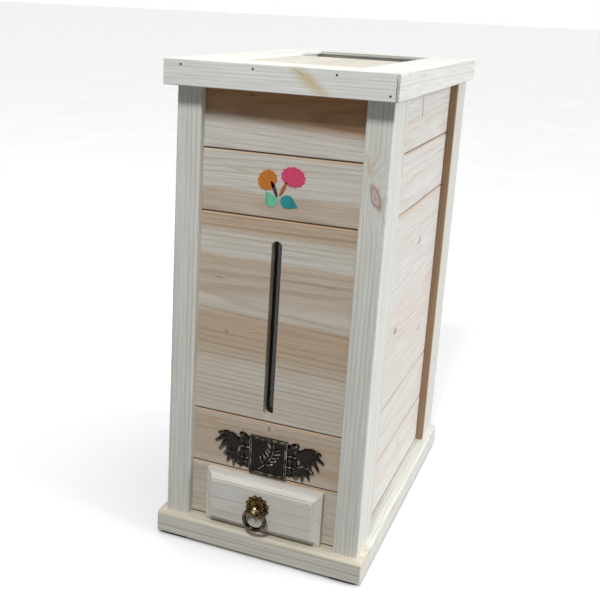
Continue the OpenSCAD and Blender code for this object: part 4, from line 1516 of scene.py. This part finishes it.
@dataclass
class Studio:
    """The pale floor, the soft lights and the camera."""

    eye: Vector = field(default_factory=lambda: Vector((0.3665, -1.1982, 0.677)))
    yaw: float = -22.52
    pitch: float = -15.12
    roll: float = 2.54
    lens: float = 56.07
    shift: tuple = (0.103, -0.07)
    sky_light: float = 0.22
    floor_reach: float = 80.0

    def camera(self) -> None:
        """Puts the camera in front of the bin, above it and to its right."""
        yaw, pitch, roll = (math.radians(v) for v in (self.yaw, self.pitch, self.roll))
        ahead = Vector((math.sin(yaw) * math.cos(pitch), math.cos(yaw) * math.cos(pitch), math.sin(pitch)))
        right = ahead.cross(Vector((0, 0, 1))).normalized()
        up = right.cross(ahead)
        rolled_right = right * math.cos(roll) + up * math.sin(roll)
        rolled_up = up * math.cos(roll) - right * math.sin(roll)
        place = Matrix((rolled_right, rolled_up, -ahead)).transposed().to_4x4()
        place.translation = self.eye
        data = bpy.data.cameras.new("camera")
        data.lens = self.lens
        data.sensor_width = 36
        data.shift_x, data.shift_y = self.shift
        camera = bpy.data.objects.new("camera", data)
        camera.matrix_world = place
        bpy.context.scene.collection.objects.link(camera)
        bpy.context.scene.camera = camera

    def sun(self, name: str, toward: tuple, strength: float, spread: float, colour: str) -> None:
        """Adds a soft light from far away.

        Args:
            name: its name.
            toward: the direction from the bin to the light.
            strength: its strength.
            spread: how wide it looks, in degrees.
            colour: its colour.
        """
        data = bpy.data.lights.new(name, "SUN")
        data.energy = strength
        data.angle = math.radians(spread)
        data.color = linear(colour)[:3]
        light = bpy.data.objects.new(name, data)
        light.rotation_euler = Vector(toward).to_track_quat("Z", "Y").to_euler()
        bpy.context.scene.collection.objects.link(light)

    def softbox(self, name: str, place: tuple, aim: tuple, power: float, width: float) -> None:
        """Adds a square soft light near the bin, so that it fades towards the floor.

        Args:
            name: its name.
            place: where it stands.
            aim: the point it looks at.
            power: its power in watts.
            width: the side of the square in metres.
        """
        data = bpy.data.lights.new(name, "AREA")
        data.energy = power
        data.size = width
        data.color = linear("#fafcff")[:3]
        light = bpy.data.objects.new(name, data)
        light.location = place
        light.rotation_euler = (Vector(place) - Vector(aim)).to_track_quat("Z", "Y").to_euler()
        bpy.context.scene.collection.objects.link(light)

    def sky(self, light: float) -> None:
        """Makes a white surround that lights the bin softly and is seen as plain white.

        Args:
            light: how strongly it lights the bin.
        """
        world = bpy.data.worlds.new("studio")
        world.use_nodes = True
        tree = world.node_tree
        tree.nodes.clear()
        seen = add_node(tree, "ShaderNodeLightPath").outputs["Is Camera Ray"]
        strength = add_node(tree, "ShaderNodeMapRange", {
            "Value": seen, "To Min": light, "To Max": 1.0}).outputs[0]
        shader = add_node(tree, "ShaderNodeBackground", {
            "Color": (1, 1, 1, 1), "Strength": strength}).outputs[0]
        add_node(tree, "ShaderNodeOutputWorld", {"Surface": shader})
        bpy.context.scene.world = world

    def floor(self) -> None:
        """Lays a plain pale floor."""
        bm = bmesh.new()
        bmesh.ops.create_grid(bm, x_segments=1, y_segments=1, size=self.floor_reach)
        material, tree, shader = start_material("paper_backdrop_matt")
        coords = add_node(tree, "ShaderNodeTexCoord").outputs["Object"]
        # Soft mottling about 0.3 m wide, hardly to be seen
        mottle = add_node(tree, "ShaderNodeTexNoise", {"Vector": coords, "Scale": 3.0}).outputs["Fac"]
        colour = add_node(tree, "ShaderNodeValToRGB", {"Fac": mottle}, stops=(
            (0.3, "#f4f4f3"), (0.7, "#f8f8f7"))).outputs[0]
        tree.links.new(colour, shader.inputs["Base Color"])
        shader.inputs["Roughness"].default_value = 0.95
        piece = finish_mesh("floor", bm, [material])
        if piece.data.polygons[0].normal.z < 0:
            piece.data.flip_normals()
        # The floor is seen and takes shadows, but throws no light back up under the lid
        piece.visible_diffuse = False

    def build(self) -> None:
        """Sets up the studio."""
        self.camera()
        self.floor()
        self.sky(self.sky_light)
        self.softbox("key", (0.15, -2.1, 2.7), (0.0, -0.2, 0.35), 64, 0.5)
        self.sun("side", (1.0, 0.16, 0.35), 2.7, 40, "#f7fbff")
        self.sun("overhead", (0.1, 0.3, 1.0), 1.7, 60, "#ffffff")
        bpy.context.scene.view_settings.view_transform = "Standard"


def main() -> None:
    """Builds the bin and its studio."""
    logging.basicConfig(level=logging.INFO, format="%(name)s %(message)s")
    parts = (Studio(), Carcass(), Plinth(), Lid(), Hatch(), Drawer(), RingPull(), Plaque(),
             FlowerInlay())
    for part in parts:
        log.info("building %s", type(part).__name__)
        part.build()


if __name__ == "__main__":
    main()
